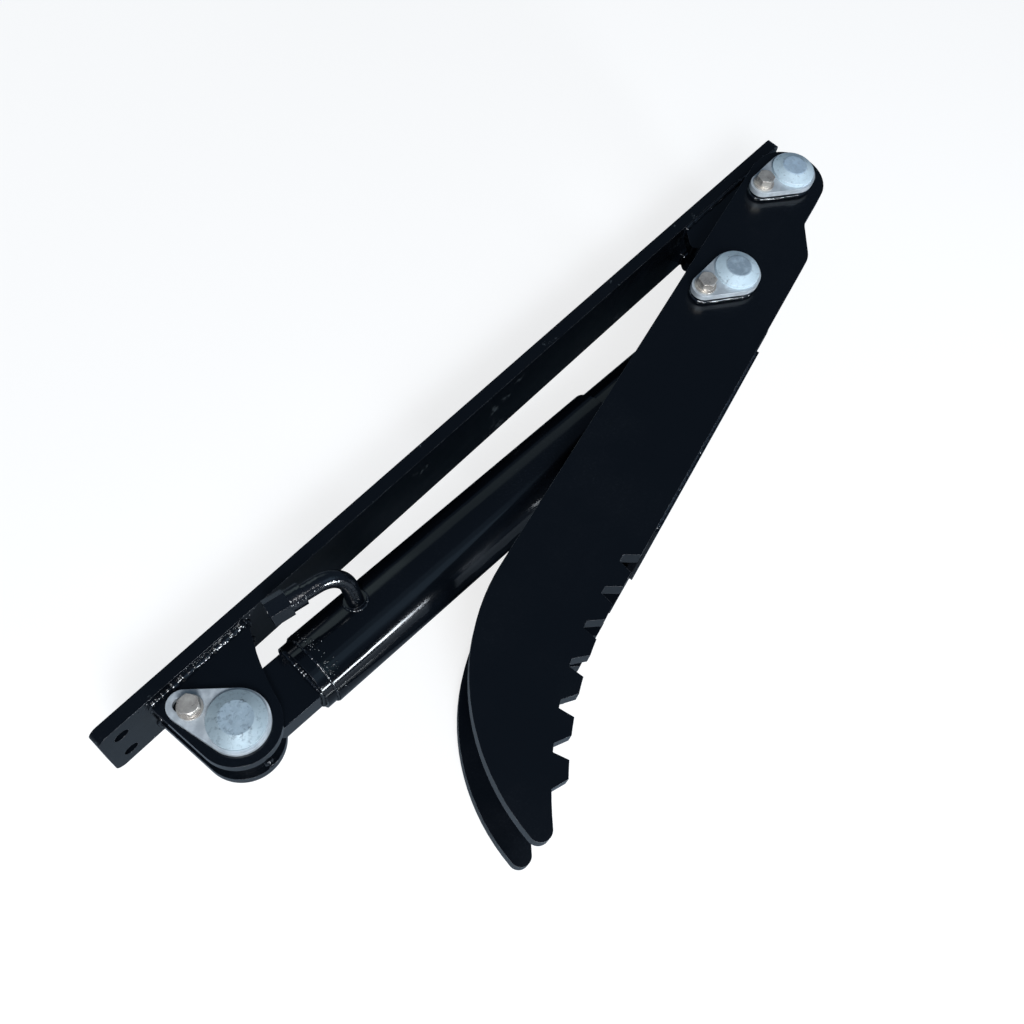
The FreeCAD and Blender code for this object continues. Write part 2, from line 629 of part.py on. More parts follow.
def blade_outline():
    """Counter-clockwise from the lobe's back, seen with the teeth towards +Y of the thumb's frame."""
    last = d.notch_start + d.notch_count * d.notch_pitch
    tooth_end, _ = front_point(last, 0)
    inner_start, turn = front_point(last + d.notch_lead, d.notch_depth)
    sweep_centre = (d.front_straight, d.blade_front + d.front_sweep)
    inner_sweep = d.front_sweep + d.notch_depth
    back_centre = (d.back_straight, d.back_sweep - d.blade_back)
    tip_centre = circle_meeting(
        sweep_centre, inner_sweep + d.tip_radius, back_centre, d.back_sweep - d.tip_radius, 1
    )
    toward_sweep = angle_from(tip_centre, sweep_centre)
    toward_edge = angle_from(back_centre, tip_centre)
    edges = []
    # back edge, from the lobe to the tip
    edges.append(line((0, -d.blade_back), (d.back_straight, -d.blade_back)))
    edges.append(arc(back_centre, d.back_sweep, 270, 360 + toward_edge))
    edges.append(arc(tip_centre, d.tip_radius, toward_edge, toward_sweep))
    # inner front edge of the tip, back to the last tooth
    tip_touch = angle_from(sweep_centre, on_circle(tip_centre, d.tip_radius, toward_sweep))
    inner_turn = angle_from(sweep_centre, inner_start)
    edges.append(arc(sweep_centre, inner_sweep, inner_turn, tip_touch))
    edges.append(line(inner_start, tooth_end))
    # toothed front edge
    edges.append(arc(sweep_centre, d.front_sweep, 270, angle_from(sweep_centre, tooth_end)))
    straight_start = (d.neck_end, d.blade_front)
    valley = (d.neck_start, d.lobe_radius)
    corner_turn = math.degrees(math.atan2(d.blade_front - d.lobe_radius, d.neck_end - d.neck_start))
    half_turn = math.tan(math.radians(corner_turn / 2))
    shoulder_x = d.neck_end + d.shoulder_round * half_turn
    shoulder_centre = (shoulder_x, d.blade_front - d.shoulder_round)
    shoulder_low = on_circle(straight_start, d.shoulder_round * half_turn, corner_turn + 180)
    edges.append(line((d.front_straight, d.blade_front), (shoulder_x, d.blade_front)))
    edges.append(arc(shoulder_centre, d.shoulder_round, 90, 90 + corner_turn))
    valley_x = d.neck_start - d.neck_round * half_turn
    valley_centre = (valley_x, d.lobe_radius + d.neck_round)
    valley_high = on_circle(valley, d.neck_round * half_turn, corner_turn)
    edges.append(line(shoulder_low, valley_high))
    edges.append(arc(valley_centre, d.neck_round, 270, 270 + corner_turn))
    edges.append(line((valley_x, d.lobe_radius), (0, d.lobe_radius)))
    # lobe
    edges.append(arc((0, 0), d.lobe_radius, 90, 270))
    edges.append(line((0, -d.lobe_radius), (0, -d.blade_back)))
    return edges


for name, low in (("blade_near", blade_inner), ("blade_far", -blade_outer)):
    holes = [
        (0, 0, "pivot_pin_radius + run_fit", d.pivot_pin_radius + d.run_fit),
        (*rod_pin_at, "rod_pin_radius + run_fit", d.rod_pin_radius + d.run_fit),
    ]
    notches = [notch(d.notch_start + i * d.notch_pitch) for i in range(int(d.notch_count))]
    plate(name, blade_outline(), low, "blade_thick", thumb_frame, holes, notches)

# Cross plate at the front edge and two cross tubes, welded between the blades
front_plate = doc.addObject("Part::Box", "front_cross_plate")
bind(
    front_plate,
    Length="front_plate_end - front_plate_start",
    Width="front_plate_thick",
    Height="thumb_width - 2 * blade_thick",
)
front_face = d.blade_front + d.front_plate_proud
front_plate.Placement.Base = Vector(d.front_plate_start, front_face - d.front_plate_thick, -blade_inner)
keep(front_plate, "front_cross_plate", thumb_frame)

inner_width = "thumb_width - 2 * blade_thick"
tube_inside = "cross_tube_radius - cross_tube_wall"
cross_tubes = (
    ("upper_cross_tube", d.upper_tube_along, d.upper_tube_off),
    ("lower_cross_tube", d.lower_tube_along, d.lower_tube_off),
)
for name, along, off in cross_tubes:
    ring(name, along, off, -blade_inner, inner_width, "cross_tube_radius", tube_inside, thumb_frame)

# Pads, collars, washers and pins at the thumb's two pivots
pad_top = blade_outer + d.boss_thick
thumb_seat = pad_top + d.flag_thick
thumb_turn = d.thumb_bolt_angle
thumb_bolt = on_circle((0, 0), d.bolt_reach, thumb_turn)
thumb_flag_reach = d.bolt_reach + d.thumb_flag_over
thumb_flag = teardrop(d.thumb_flag_radius, d.thumb_flag_toe, thumb_flag_reach, thumb_turn)
thumb_slot = (d.bolt_reach - d.thumb_slot_in, d.bolt_reach + d.thumb_slot_out)
pad_radius = d.thumb_flag_radius - d.boss_margin
pad_toe = d.thumb_flag_toe - d.boss_margin
stations = (("pivot", (0, 0), d.pivot_pin_radius), ("rod", rod_pin_at, d.rod_pin_radius))
for name, (x, y), shank in stations:
    place = thumb_frame.multiply(Placement(Vector(x, y, 0), Rotation()))
    outline = teardrop(pad_radius, pad_toe, thumb_flag_reach, thumb_turn)
    fit = name + "_pin_radius + run_fit"
    holes = [(0, 0, fit, shank + d.run_fit), (*thumb_bolt, "bolt_radius", d.bolt_radius)]
    plate(name + "_pin_pad", outline, blade_outer, "boss_thick", place, holes)
    ring(name + "_pin_collar", 0, 0, -pad_top, "boss_thick", "collar_radius", fit, place)
    pin(name + "_pin", x, y, thumb_seat, -pad_top - d.pin_end_proud, shank, d.thumb_head_radius, thumb_frame)
    flag = name + "_pin_retainer"
    retainer(flag, x, y, pad_top, thumb_flag, thumb_slot, shank, thumb_turn, thumb_frame)
    bolt_tip = blade_outer + d.bolt_tip_gap
    retainer_bolt(name + "_pin_bolt", x, y, thumb_seat, bolt_tip, thumb_turn, thumb_frame)

for name, low in (("thrust_washer_near", blade_inner - d.thrust_thick), ("thrust_washer_far", -blade_inner)):
    ring(name, 0, 0, low, "thrust_thick", "thrust_radius", "pivot_pin_radius + run_fit", thumb_frame)

spacer_length = "thumb_width / 2 - blade_thick - eye_width / 2 - eye_play"
eye_half = d.eye_width / 2
for name, low in (("rod_spacer_near", eye_half + d.eye_play), ("rod_spacer_far", -blade_inner)):
    ring(name, *rod_pin_at, low, spacer_length, "spacer_radius", "rod_pin_radius + run_fit", thumb_frame)

# Cylinder: cap lug with its bush and grease nipple, tube, head and seals
cap_face = d.cap_start + d.cap_thick
spigot_end = cap_face + d.cap_spigot
lug_half = ear_inner - d.lug_play
lug_bore = d.base_pin_radius + d.run_fit + d.lug_bush_wall


def cap_lug():
    """Flat eye and neck, joined to the round end cap."""
    body = doc.addObject("PartDesign::Body", "cap_lug")
    outline = new_sketch(body, "lug_outline", offset=-lug_half)
    half = d.lug_neck / 2
    touch = math.degrees(math.asin(half / d.lug_round))
    start = on_circle((0, 0), d.lug_round, touch)
    edges = [arc((0, 0), d.lug_round, touch, 360 - touch)]
    edges.append(line((start[0], -half), (cap_face, -half)))
    edges.append(line((cap_face, -half), (cap_face, half)))
    edges.append(line((cap_face, half), start))
    add_loop(outline, edges)
    pad(body, outline, "ear_gap - 2 * lug_play")
    profile = new_sketch(body, "cap_profile")
    steps = [
        (d.cap_start, 0),
        (d.cap_start, d.cap_radius),
        (cap_face, d.cap_radius),
        (cap_face, d.bore_radius),
        (spigot_end, d.bore_radius),
        (spigot_end, 0),
    ]
    add_loop(profile, polygon(steps))
    spin = body.newObject("PartDesign::Revolution", "cap_turn")
    spin.Profile = profile
    spin.ReferenceAxis = (profile, ["H_Axis"])
    spin.Angle = 360
    body.Tip = spin
    bore = new_sketch(body, "lug_bore")
    add_circle(bore, 0, 0, lug_bore, "base_pin_radius + run_fit + lug_bush_wall")
    cut_through(body, bore)
    return keep(body, "cap_lug", cylinder_frame)


cap_lug()
ring(
    "lug_bush", 0, 0, -lug_half, "ear_gap - 2 * lug_play",
    "base_pin_radius + run_fit + lug_bush_wall", "base_pin_radius + run_fit", cylinder_frame,
)


def grease_nipple():
    """Stub on the lug's outer side, with a narrower head."""
    body = doc.addObject("PartDesign::Body", "grease_nipple")
    sketch = new_sketch(body, "nipple_profile", "XZ_Plane")
    root = d.lug_round
    top = d.lug_round + d.nipple_length
    waist = d.nipple_radius * 0.55
    outline = [
        (0, root),
        (d.nipple_radius, root),
        (d.nipple_radius, root + d.nipple_length * 0.5),
        (waist, root + d.nipple_length * 0.65),
        (waist, top - 2),
        (waist + 0.8, top - 1),
        (waist * 0.5, top),
        (0, top),
    ]
    add_loop(sketch, polygon(outline))
    spin = body.newObject("PartDesign::Revolution", "nipple_turn")
    spin.Profile = sketch
    spin.ReferenceAxis = (sketch, ["V_Axis"])
    spin.Angle = 360
    body.Tip = spin
    body.Placement = Placement(Vector(), Rotation(Vector(1, 0, 0), 90))
    return keep(body, "grease_nipple", cylinder_frame)


grease_nipple()

turned(
    "barrel_tube",
    [
        (cap_face, d.bore_radius),
        (cap_face, d.tube_radius),
        (tube_end, d.tube_radius),
        (tube_end, d.bore_radius),
    ],
    cylinder_frame,
)

# Head: screwed into the tube, with one groove for the rod seal and one for the wiper
rod_hole = d.rod_radius + d.run_fit
head_start = tube_end - d.head_inside
seal_at = tube_end - d.head_inside / 2
wiper_at = head_end - d.groove_width
turned(
    "cylinder_head",
    [
        (head_start, rod_hole),
        (head_start, d.bore_radius),
        (tube_end, d.bore_radius),
        (tube_end, d.head_radius),
        (head_end - 2, d.head_radius),
        (head_end, d.head_radius - 2),
        (head_end, rod_hole + d.groove_depth),
        (wiper_at, rod_hole + d.groove_depth),
        (wiper_at, rod_hole),
        (seal_at + d.groove_width, rod_hole),
        (seal_at + d.groove_width, rod_hole + d.groove_depth),
        (seal_at, rod_hole + d.groove_depth),
        (seal_at, rod_hole),
    ],
    cylinder_frame,
)
seal_ring = [
    (seal_at, rod_hole),
    (seal_at, rod_hole + d.groove_depth),
    (seal_at + d.groove_width, rod_hole + d.groove_depth),
    (seal_at + d.groove_width, rod_hole),
]
turned("rod_seal", seal_ring, cylinder_frame)
wiper_profile = [
    (wiper_at, rod_hole),
    (wiper_at, rod_hole + d.groove_depth),
    (head_end, rod_hole + d.groove_depth),
    (head_end + 2, rod_hole + 1),
    (head_end + 2, rod_hole),
]
turned("rod_wiper", wiper_profile, cylinder_frame)

# Rod: threaded tail with the piston and its nut, bright shank, and the eye welded on
nut_start = spigot_end + d.nut_gap
piston_start = nut_start + d.nut_height
piston_end = piston_start + d.piston_length
turned(
    "rod",
    [
        (nut_start, 0),
        (nut_start, d.rod_tail_radius - 1),
        (nut_start + 1, d.rod_tail_radius),
        (piston_end, d.rod_tail_radius),
        (piston_end, d.rod_radius),
        (rod_end, d.rod_radius),
        (rod_end, 0),
    ],
    cylinder_frame,
)
piston_outer = d.bore_radius - d.piston_play
groove_at = piston_start + (d.piston_length - d.groove_width) / 2
turned(
    "piston",
    [
        (piston_start, d.rod_tail_radius),
        (piston_start, piston_outer),
        (groove_at, piston_outer),
        (groove_at, piston_outer - d.groove_depth),
        (groove_at + d.groove_width, piston_outer - d.groove_depth),
        (groove_at + d.groove_width, piston_outer),
        (piston_end, piston_outer),
        (piston_end, d.rod_tail_radius),
    ],
    cylinder_frame,
)
seal_outer = d.bore_radius - d.run_fit
piston_seal_profile = [
    (groove_at, piston_outer - d.groove_depth),
    (groove_at, seal_outer),
    (groove_at + d.groove_width, seal_outer),
    (groove_at + d.groove_width, piston_outer - d.groove_depth),
]
turned("piston_seal", piston_seal_profile, cylinder_frame)


def piston_nut():
    """Hexagon nut on the rod's tail."""
    hexagon = doc.addObject("Part::Prism", "piston_nut_hexagon")
    hexagon.Polygon = 6
    bind(hexagon, Circumradius="nut_flats / 2 / cos(30)", Height="nut_height")
    hole = doc.addObject("Part::Cylinder", "piston_nut_hole")
    bind(hole, Radius="rod_tail_radius", Height="nut_height")
    nut = doc.addObject("Part::Cut", "piston_nut")
    nut.Base = hexagon
    nut.Tool = hole
    nut.Placement = Placement(Vector(nut_start, 0, 0), Rotation(Vector(0, 1, 0), 90))
    return keep(nut, "piston_nut", cylinder_frame)


piston_nut()


def rod_eye():
    """Round eye with an open bore and a turned neck that meets the rod."""
    body = doc.addObject("PartDesign::Body", "rod_eye")
    outline = new_sketch(body, "eye_outline", offset=-d.eye_width / 2)
    add_circle(outline, eye_station, 0, d.eye_radius, "eye_radius")
    pad(body, outline, "eye_width")
    profile = new_sketch(body, "eye_neck_profile")
    inside = eye_station - d.eye_bore_radius - 1
    steps = [
        (rod_end, 0),
        (rod_end, d.eye_neck_radius - 3),
        (rod_end + 3, d.eye_neck_radius),
        (inside, d.eye_neck_radius),
        (inside, 0),
    ]
    add_loop(profile, polygon(steps))
    spin = body.newObject("PartDesign::Revolution", "eye_neck_turn")
    spin.Profile = profile
    spin.ReferenceAxis = (profile, ["H_Axis"])
    spin.Angle = 360
    body.Tip = spin
    bore = new_sketch(body, "eye_bore")
    add_circle(bore, eye_station, 0, d.eye_bore_radius, "eye_bore_radius")
    cut_through(body, bore)
    return keep(body, "rod_eye", cylinder_frame)


rod_eye()


# Port pipes: a pad on the barrel, a bent pipe, a sleeve and a swivel nut
def port_frame(station, turn, yaw):
    """Local Z leaves the barrel, local X runs with the barrel, both turned about the root."""
    spin = Rotation(Vector(1, 0, 0), turn - 90)
    root = Vector(station, 0, 0)
    return cylinder_frame.multiply(Placement(root, spin.multiply(Rotation(Vector(0, 0, 1), yaw))))


def port_set(prefix, station, turn, yaw, rise, bend, run):
    frame = port_frame(station, turn, yaw)
    # Saddle pad, cut to the barrel's round
    pad_outer = doc.addObject("Part::Cylinder", prefix + "_pad_outer")
    bind(pad_outer, Radius="port_pad_radius", Height="tube_radius + port_pad_height")
    pad_hole = doc.addObject("Part::Cylinder", prefix + "_pad_hole")
    bind(pad_hole, Radius="pipe_radius", Height="tube_radius + 2 * port_pad_height")
    pad_drilled = doc.addObject("Part::Cut", prefix + "_pad_drilled")
    pad_drilled.Base = pad_outer
    pad_drilled.Tool = pad_hole
    barrel = doc.addObject("Part::Cylinder", prefix + "_pad_barrel")
    bind(barrel, Radius="tube_radius", Height="4 * port_pad_radius")
    unyaw = Rotation(Vector(0, 0, 1), -yaw)
    lay = unyaw.multiply(Rotation(Vector(0, 1, 0), 90))
    barrel.Placement = Placement(unyaw.multVec(Vector(-2 * d.port_pad_radius, 0, 0)), lay)
    saddle = doc.addObject("Part::Cut", prefix + "_port_pad")
    saddle.Base = pad_drilled
    saddle.Tool = barrel
    keep(saddle, prefix + "_port_pad", frame)

    # Pipe: straight out, a quarter bend, and a straight run back along the barrel
    body = doc.addObject("PartDesign::Body", prefix + "_port_pipe")
    ring_sketch = new_sketch(body, prefix + "_pipe_ring", offset=d.tube_radius)
    add_circle(ring_sketch, 0, 0, d.pipe_radius, "pipe_radius")
    add_circle(ring_sketch, 0, 0, d.pipe_bore, "pipe_bore")
    path = new_sketch(body, prefix + "_pipe_path", "XZ_Plane")
    corner = d.tube_radius + rise
    top = corner + bend
    path.addGeometry(line((0, d.tube_radius), (0, corner)), False)
    path.addGeometry(arc((-bend, corner), bend, 0, 90), False)
    path.addGeometry(line((-bend, top), (-bend - run, top)), False)
    sweep = body.newObject("PartDesign::AdditivePipe", prefix + "_pipe_sweep")
    sweep.Profile = ring_sketch
    sweep.Spine = path
    body.Tip = sweep
    keep(body, prefix + "_port_pipe", frame)

    # Sleeve and nut at the pipe's end
    end = -bend - run
    back = Rotation(Vector(0, 1, 0), -90)
    sleeve_outer = doc.addObject("Part::Cylinder", prefix + "_sleeve_outer")
    sleeve_inner = doc.addObject("Part::Cylinder", prefix + "_sleeve_inner")
    bind(sleeve_outer, Radius="sleeve_radius", Height="sleeve_length")
    bind(sleeve_inner, Radius="pipe_bore", Height="sleeve_length")
    sleeve = doc.addObject("Part::Cut", prefix + "_port_sleeve")
    sleeve.Base = sleeve_outer
    sleeve.Tool = sleeve_inner
    sleeve.Placement = Placement(Vector(end, 0, top), back)
    keep(sleeve, prefix + "_port_sleeve", frame)

    hexagon = doc.addObject("Part::Prism", prefix + "_nut_hexagon")
    hexagon.Polygon = 6
    bind(hexagon, Circumradius="nut_across / 2 / cos(30)", Height="nut_length")
    thread = doc.addObject("Part::Cylinder", prefix + "_nut_thread")
    bind(thread, Radius="nut_thread_radius", Height="nut_thread_depth")
    thread.Placement.Base = Vector(0, 0, d.nut_length - d.nut_thread_depth)
    way = doc.addObject("Part::Cylinder", prefix + "_nut_way")
    bind(way, Radius="pipe_bore", Height="nut_length")
    hollow = doc.addObject("Part::MultiFuse", prefix + "_nut_hollow")
    hollow.Shapes = [thread, way]
    nut = doc.addObject("Part::Cut", prefix + "_port_nut")
    nut.Base = hexagon
    nut.Tool = hollow
    nut.Placement = Placement(Vector(end - d.sleeve_length, 0, top), back)
    keep(nut, prefix + "_port_nut", frame)
    mouth = frame.multVec(Vector(end - d.sleeve_length - d.nut_length, 0, top))
    way_out = frame.Rotation.multVec(Vector(-1, 0, 0))
    print(prefix, "port mouth", mouth, "axis", way_out)


port_set(
    "cap", d.port_station, d.port_angle, d.cap_pipe_angle,
    d.cap_pipe_rise, d.cap_pipe_bend, d.cap_pipe_run,
)
port_set(
    "rod", tube_end - d.rod_port_inset, d.rod_port_angle, 0,
    d.rod_pipe_rise, d.rod_pipe_bend, d.rod_pipe_run,
)

doc.recompute()

failed = [obj.Name for obj in doc.Objects if "Invalid" in obj.State or "Error" in obj.State]
if failed:
    raise SystemExit("objects failed: " + ", ".join(failed))
for name, obj in parts:
    shape = obj.Shape
    if shape.isNull() or not shape.isValid() or not shape.Solids:
        raise SystemExit("bad shape: " + name)
for name, obj in parts:
    obj.Shape.exportStep("parts/%s.step" % name)
    print(name, len(obj.Shape.Solids), round(obj.Shape.Volume), obj.Shape.BoundBox)
print(len(parts), "sub-parts; rod pin at", thumb_frame.multVec(Vector(*rod_pin_at, 0)))
print("base pin at", base_pin, "cylinder direction", cylinder_frame.Rotation.multVec(Vector(1, 0, 0)))
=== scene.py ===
# %% [markdown]
# # A hydraulic thumb in gloss black
#
# The thumb lies on its side on a white floor, with its cylinder drawn in. The shapes of the plates,
# pins and cylinder come from the CAD frame. This lesson adds what a workshop adds: weld beads and
# spatter, paint, zinc plating, turning marks and the light of a plain studio.

import math
import random

import bmesh
import bpy
from mathutils import Matrix, Vector


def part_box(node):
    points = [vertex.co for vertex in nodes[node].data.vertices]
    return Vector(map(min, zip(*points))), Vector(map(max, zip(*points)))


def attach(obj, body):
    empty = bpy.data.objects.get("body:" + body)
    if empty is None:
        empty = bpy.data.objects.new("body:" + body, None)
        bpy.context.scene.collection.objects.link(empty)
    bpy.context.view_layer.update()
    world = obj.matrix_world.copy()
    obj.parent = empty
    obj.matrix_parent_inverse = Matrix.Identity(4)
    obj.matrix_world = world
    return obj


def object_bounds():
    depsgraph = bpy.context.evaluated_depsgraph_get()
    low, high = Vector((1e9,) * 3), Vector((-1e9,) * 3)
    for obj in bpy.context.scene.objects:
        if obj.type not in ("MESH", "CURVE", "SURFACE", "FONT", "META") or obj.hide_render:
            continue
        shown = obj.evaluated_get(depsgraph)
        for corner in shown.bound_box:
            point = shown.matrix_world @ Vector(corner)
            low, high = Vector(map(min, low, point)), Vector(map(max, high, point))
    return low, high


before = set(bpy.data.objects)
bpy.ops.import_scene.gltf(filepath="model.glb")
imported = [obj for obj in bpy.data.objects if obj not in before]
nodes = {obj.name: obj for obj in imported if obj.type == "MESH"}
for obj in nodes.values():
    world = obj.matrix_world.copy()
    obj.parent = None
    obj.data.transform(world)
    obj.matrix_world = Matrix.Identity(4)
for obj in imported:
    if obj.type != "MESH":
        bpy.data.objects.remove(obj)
cad_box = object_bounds()
print("CAD nodes:", len(nodes), "box:", [tuple(round(v, 3) for v in corner) for corner in cad_box])

# %% [markdown]
# ## Where things are
#
# Welds and marks are placed from the pieces that they join, so every place is worked out from a
# node's box or from the three lines that the thumb is built on: the bar, the blade's line through
# the pivot, and the cylinder's line through the base pin.

# %% Read the main places from the nodes
MM = 0.001


def middle(node):
    low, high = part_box(node)
    return (low + high) / 2


pivot = middle("pivot_pin")
rod_pin = middle("rod_pin")
base_pin = middle("base_pin")
blade_turn = math.radians(192.5)
cylinder_turn = math.radians(-2.598)
blade_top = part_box("blade_near")[1].z
blade_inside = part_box("blade_near")[0].z
bar_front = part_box("mounting_bar")[0].y


def on_blade(along, off, height):
    """Point in the blade's own lines: along it from the pivot, off towards its teeth, and up."""
    ahead = Vector((math.cos(blade_turn), math.sin(blade_turn), 0))
    aside = Vector((-math.sin(blade_turn), math.cos(blade_turn), 0))
    return Vector((pivot.x, pivot.y, 0)) + ahead * along + aside * off + Vector((0, 0, height))


cylinder_ahead = Vector((math.cos(cylinder_turn), math.sin(cylinder_turn), 0))
cylinder_aside = Vector((-math.sin(cylinder_turn), math.cos(cylinder_turn), 0))


def on_cylinder(along, radius, turn):
    """Point round the cylinder: along it from the base pin, out from its line, turned from the bar."""
    out = cylinder_aside * math.cos(turn) + Vector((0, 0, 1)) * math.sin(turn)
    return Vector((base_pin.x, base_pin.y, 0)) + cylinder_ahead * along + out * radius


print("pivot", pivot, "rod pin", rod_pin, "base pin", base_pin)

# %% [markdown]
# ## Shared effects as node groups
#
# Three effects turn up in several finishes: edges that catch the light, a slow waviness in sprayed
# paint, and a thin uneven film of dust. Each is a node group with named inputs, so that a finish
# states only its own values. They could be copied into every material, but then each change would
# have to be made in several places. The groups put out masks, heights and normals, and the shader
# itself stays in each material.

# %% Helpers for node trees


def new_group(name, inputs, outputs):
    """A shader node group with float or vector sockets, and its input and output nodes."""
    tree = bpy.data.node_groups.new(name, "ShaderNodeTree")
    for label, kind, default in inputs:
        socket = tree.interface.new_socket(label, in_out="INPUT", socket_type="NodeSocket" + kind)
        if default is not None:
            socket.default_value = default
    for label, kind in outputs:
        tree.interface.new_socket(label, in_out="OUTPUT", socket_type="NodeSocket" + kind)
    return tree, tree.nodes.new("NodeGroupInput"), tree.nodes.new("NodeGroupOutput")


def math_node(tree, operation, first, second=None, clamp=False):
    """A Math node whose inputs are numbers or sockets; gives its output socket."""
    node = tree.nodes.new("ShaderNodeMath")
    node.operation = operation
    node.use_clamp = clamp
    for socket, value in zip(node.inputs, (first, second)):
        if isinstance(value, bpy.types.NodeSocket):
            tree.links.new(value, socket)
        elif value is not None:
            socket.default_value = value
    return node.outputs[0]


def noise_node(tree, vector, scale, detail=3.0, roughness=0.5):
    node = tree.nodes.new("ShaderNodeTexNoise")
    node.inputs["Detail"].default_value = detail
    node.inputs["Roughness"].default_value = roughness
    tree.links.new(vector, node.inputs["Vector"])
    if isinstance(scale, bpy.types.NodeSocket):
        tree.links.new(scale, node.inputs["Scale"])
    else:
        node.inputs["Scale"].default_value = scale
    return node.outputs["Fac"]


def ramp_between(tree, value, low, high):
    """Smooth 0 to 1 as value goes from low to high."""
    node = tree.nodes.new("ShaderNodeMapRange")
    node.interpolation_type = "SMOOTHSTEP"
    tree.links.new(value, node.inputs["Value"])
    for label, limit in (("From Min", low), ("From Max", high)):
        if isinstance(limit, bpy.types.NodeSocket):
            tree.links.new(limit, node.inputs[label])
        else:
            node.inputs[label].default_value = limit
    return node.outputs["Result"]


print("node helpers ready")

# %% [markdown]
# ### Edges that catch the light
#
# A plate that is cut and then sprayed has a small round along each edge, which mirrors a lamp as a
# thin line. It could be modelled as a bevel on every edge. Here the Bevel node bends the normal near
# an edge instead, which leaves the CAD shapes as they are. Where the bent normal and the true one
# differ there is an edge, and noise breaks the line up. The finishes also use this mask to mix a
# lighter colour into their edges, which is a painted highlight.

# %% Edge catch: where a rounded edge would be


def build_edge_catch():
    tree, start, end = new_group(
        "Edge catch",
        [("Width", "Float", 0.001), ("Patchiness", "Float", 0.3)],
        [("Mask", "Float"), ("Normal", "Vector")],
    )
    bevel = tree.nodes.new("ShaderNodeBevel")
    bevel.samples = 6
    tree.links.new(start.outputs["Width"], bevel.inputs["Radius"])
    geometry = tree.nodes.new("ShaderNodeNewGeometry")
    dot = tree.nodes.new("ShaderNodeVectorMath")
    dot.operation = "DOT_PRODUCT"
    tree.links.new(bevel.outputs["Normal"], dot.inputs[0])
    tree.links.new(geometry.outputs["True Normal"], dot.inputs[1])
    bent = math_node(tree, "SUBTRACT", 1.0, dot.outputs["Value"])
    edge = ramp_between(tree, bent, 0.04, 0.22)
    place = tree.nodes.new("ShaderNodeTexCoord").outputs["Object"]
    edge_wear_and_highlight = ramp_between(tree, noise_node(tree, place, 90.0, 5.0), 0.35, 0.65)
    kept = math_node(tree, "MULTIPLY", edge_wear_and_highlight, start.outputs["Patchiness"])
    thinned = math_node(tree, "SUBTRACT", 1.0, kept, clamp=True)
    mask = math_node(tree, "MULTIPLY", edge, thinned)
    tree.links.new(mask, end.inputs["Mask"])
    tree.links.new(bevel.outputs["Normal"], end.inputs["Normal"])
    return tree


edge_catch = build_edge_catch()
print("made group:", edge_catch.name)

# %% [markdown]
# ### Waves and dust
#
# Sprayed paint isn't flat: it settles in slow waves and dries with a fine orange peel. Dust lies on
# it in faint clouds. Both could be painted as pictures, but noise in the object's own coordinates
# needs no unwrapping and stays sharp in a close view.

# %% Paint waves and dust film


def build_paint_waves():
    tree, start, end = new_group(
        "Paint waves",
        [("Wave Scale", "Float", 40.0), ("Peel Scale", "Float", 420.0), ("Peel Share", "Float", 0.15)],
        [("Height", "Float")],
    )
    place = tree.nodes.new("ShaderNodeTexCoord").outputs["Object"]
    waves = noise_node(tree, place, start.outputs["Wave Scale"], 1.0)
    peel = noise_node(tree, place, start.outputs["Peel Scale"], 2.0)
    fine = math_node(tree, "MULTIPLY", peel, start.outputs["Peel Share"])
    tree.links.new(math_node(tree, "ADD", waves, fine), end.inputs["Height"])
    return tree


def build_dust_film():
    tree, start, end = new_group(
        "Dust film",
        [("Scale", "Float", 14.0), ("Amount", "Float", 0.3)],
        [("Mask", "Float"), ("Smudge", "Float")],
    )
    place = tree.nodes.new("ShaderNodeTexCoord").outputs["Object"]
    clouds = noise_node(tree, place, start.outputs["Scale"], 6.0, 0.6)
    grains = noise_node(tree, place, 900.0, 2.0)
    cloud_mask = ramp_between(tree, clouds, 0.42, 0.72)
    grain_mask = ramp_between(tree, grains, 0.55, 0.75)
    both = math_node(tree, "MULTIPLY", cloud_mask, grain_mask)
    tree.links.new(math_node(tree, "MULTIPLY", both, start.outputs["Amount"]), end.inputs["Mask"])
    tree.links.new(cloud_mask, end.inputs["Smudge"])
    return tree


paint_waves = build_paint_waves()
dust_film = build_dust_film()
print("made groups:", paint_waves.name, "and", dust_film.name)

# %% [markdown]
# ## Gloss black paint
#
# The plates, tube and bar are sprayed black over bare steel. The paint is glossy, so what shows is
# mostly its reflections, a little wavy, with a blue cast. Where a plate has a cut edge the paint is
# thin, and the edge also catches the lamps, so a grey line is painted along it: partly worn paint
# and partly a painted highlight. The colour is nearly black, and a mask from the edge group mixes in
# that grey. The bar has a few light scrapes as well. Paint lies thicker on the welds and the pipe
# fittings and mirrors more there, so these two take a higher index. One function makes all five
# paints, because they differ only in their values.

# %% Paint material


def shader_of(material):
    material.use_nodes = True
    return material.node_tree, material.node_tree.nodes["Principled BSDF"]


def group_node(tree, group, **values):
    node = tree.nodes.new("ShaderNodeGroup")
    node.node_tree = group
    for label, value in values.items():
        node.inputs[label.replace("_", " ")].default_value = value
    return node


def mix_colour(tree, factor, first, second):
    node = tree.nodes.new("ShaderNodeMix")
    node.data_type = "RGBA"
    tree.links.new(factor, node.inputs["Factor"])
    for socket, value in ((node.inputs[6], first), (node.inputs[7], second)):
        if isinstance(value, bpy.types.NodeSocket):
            tree.links.new(value, socket)
        else:
            socket.default_value = (*value, 1.0)
    return node.outputs[2]


def bump_node(tree, height, distance, normal=None, strength=1.0):
    node = tree.nodes.new("ShaderNodeBump")
    node.inputs["Strength"].default_value = strength
    node.inputs["Distance"].default_value = distance
    tree.links.new(height, node.inputs["Height"])
    if normal is not None:
        tree.links.new(normal, node.inputs["Normal"])
    return node.outputs["Normal"]


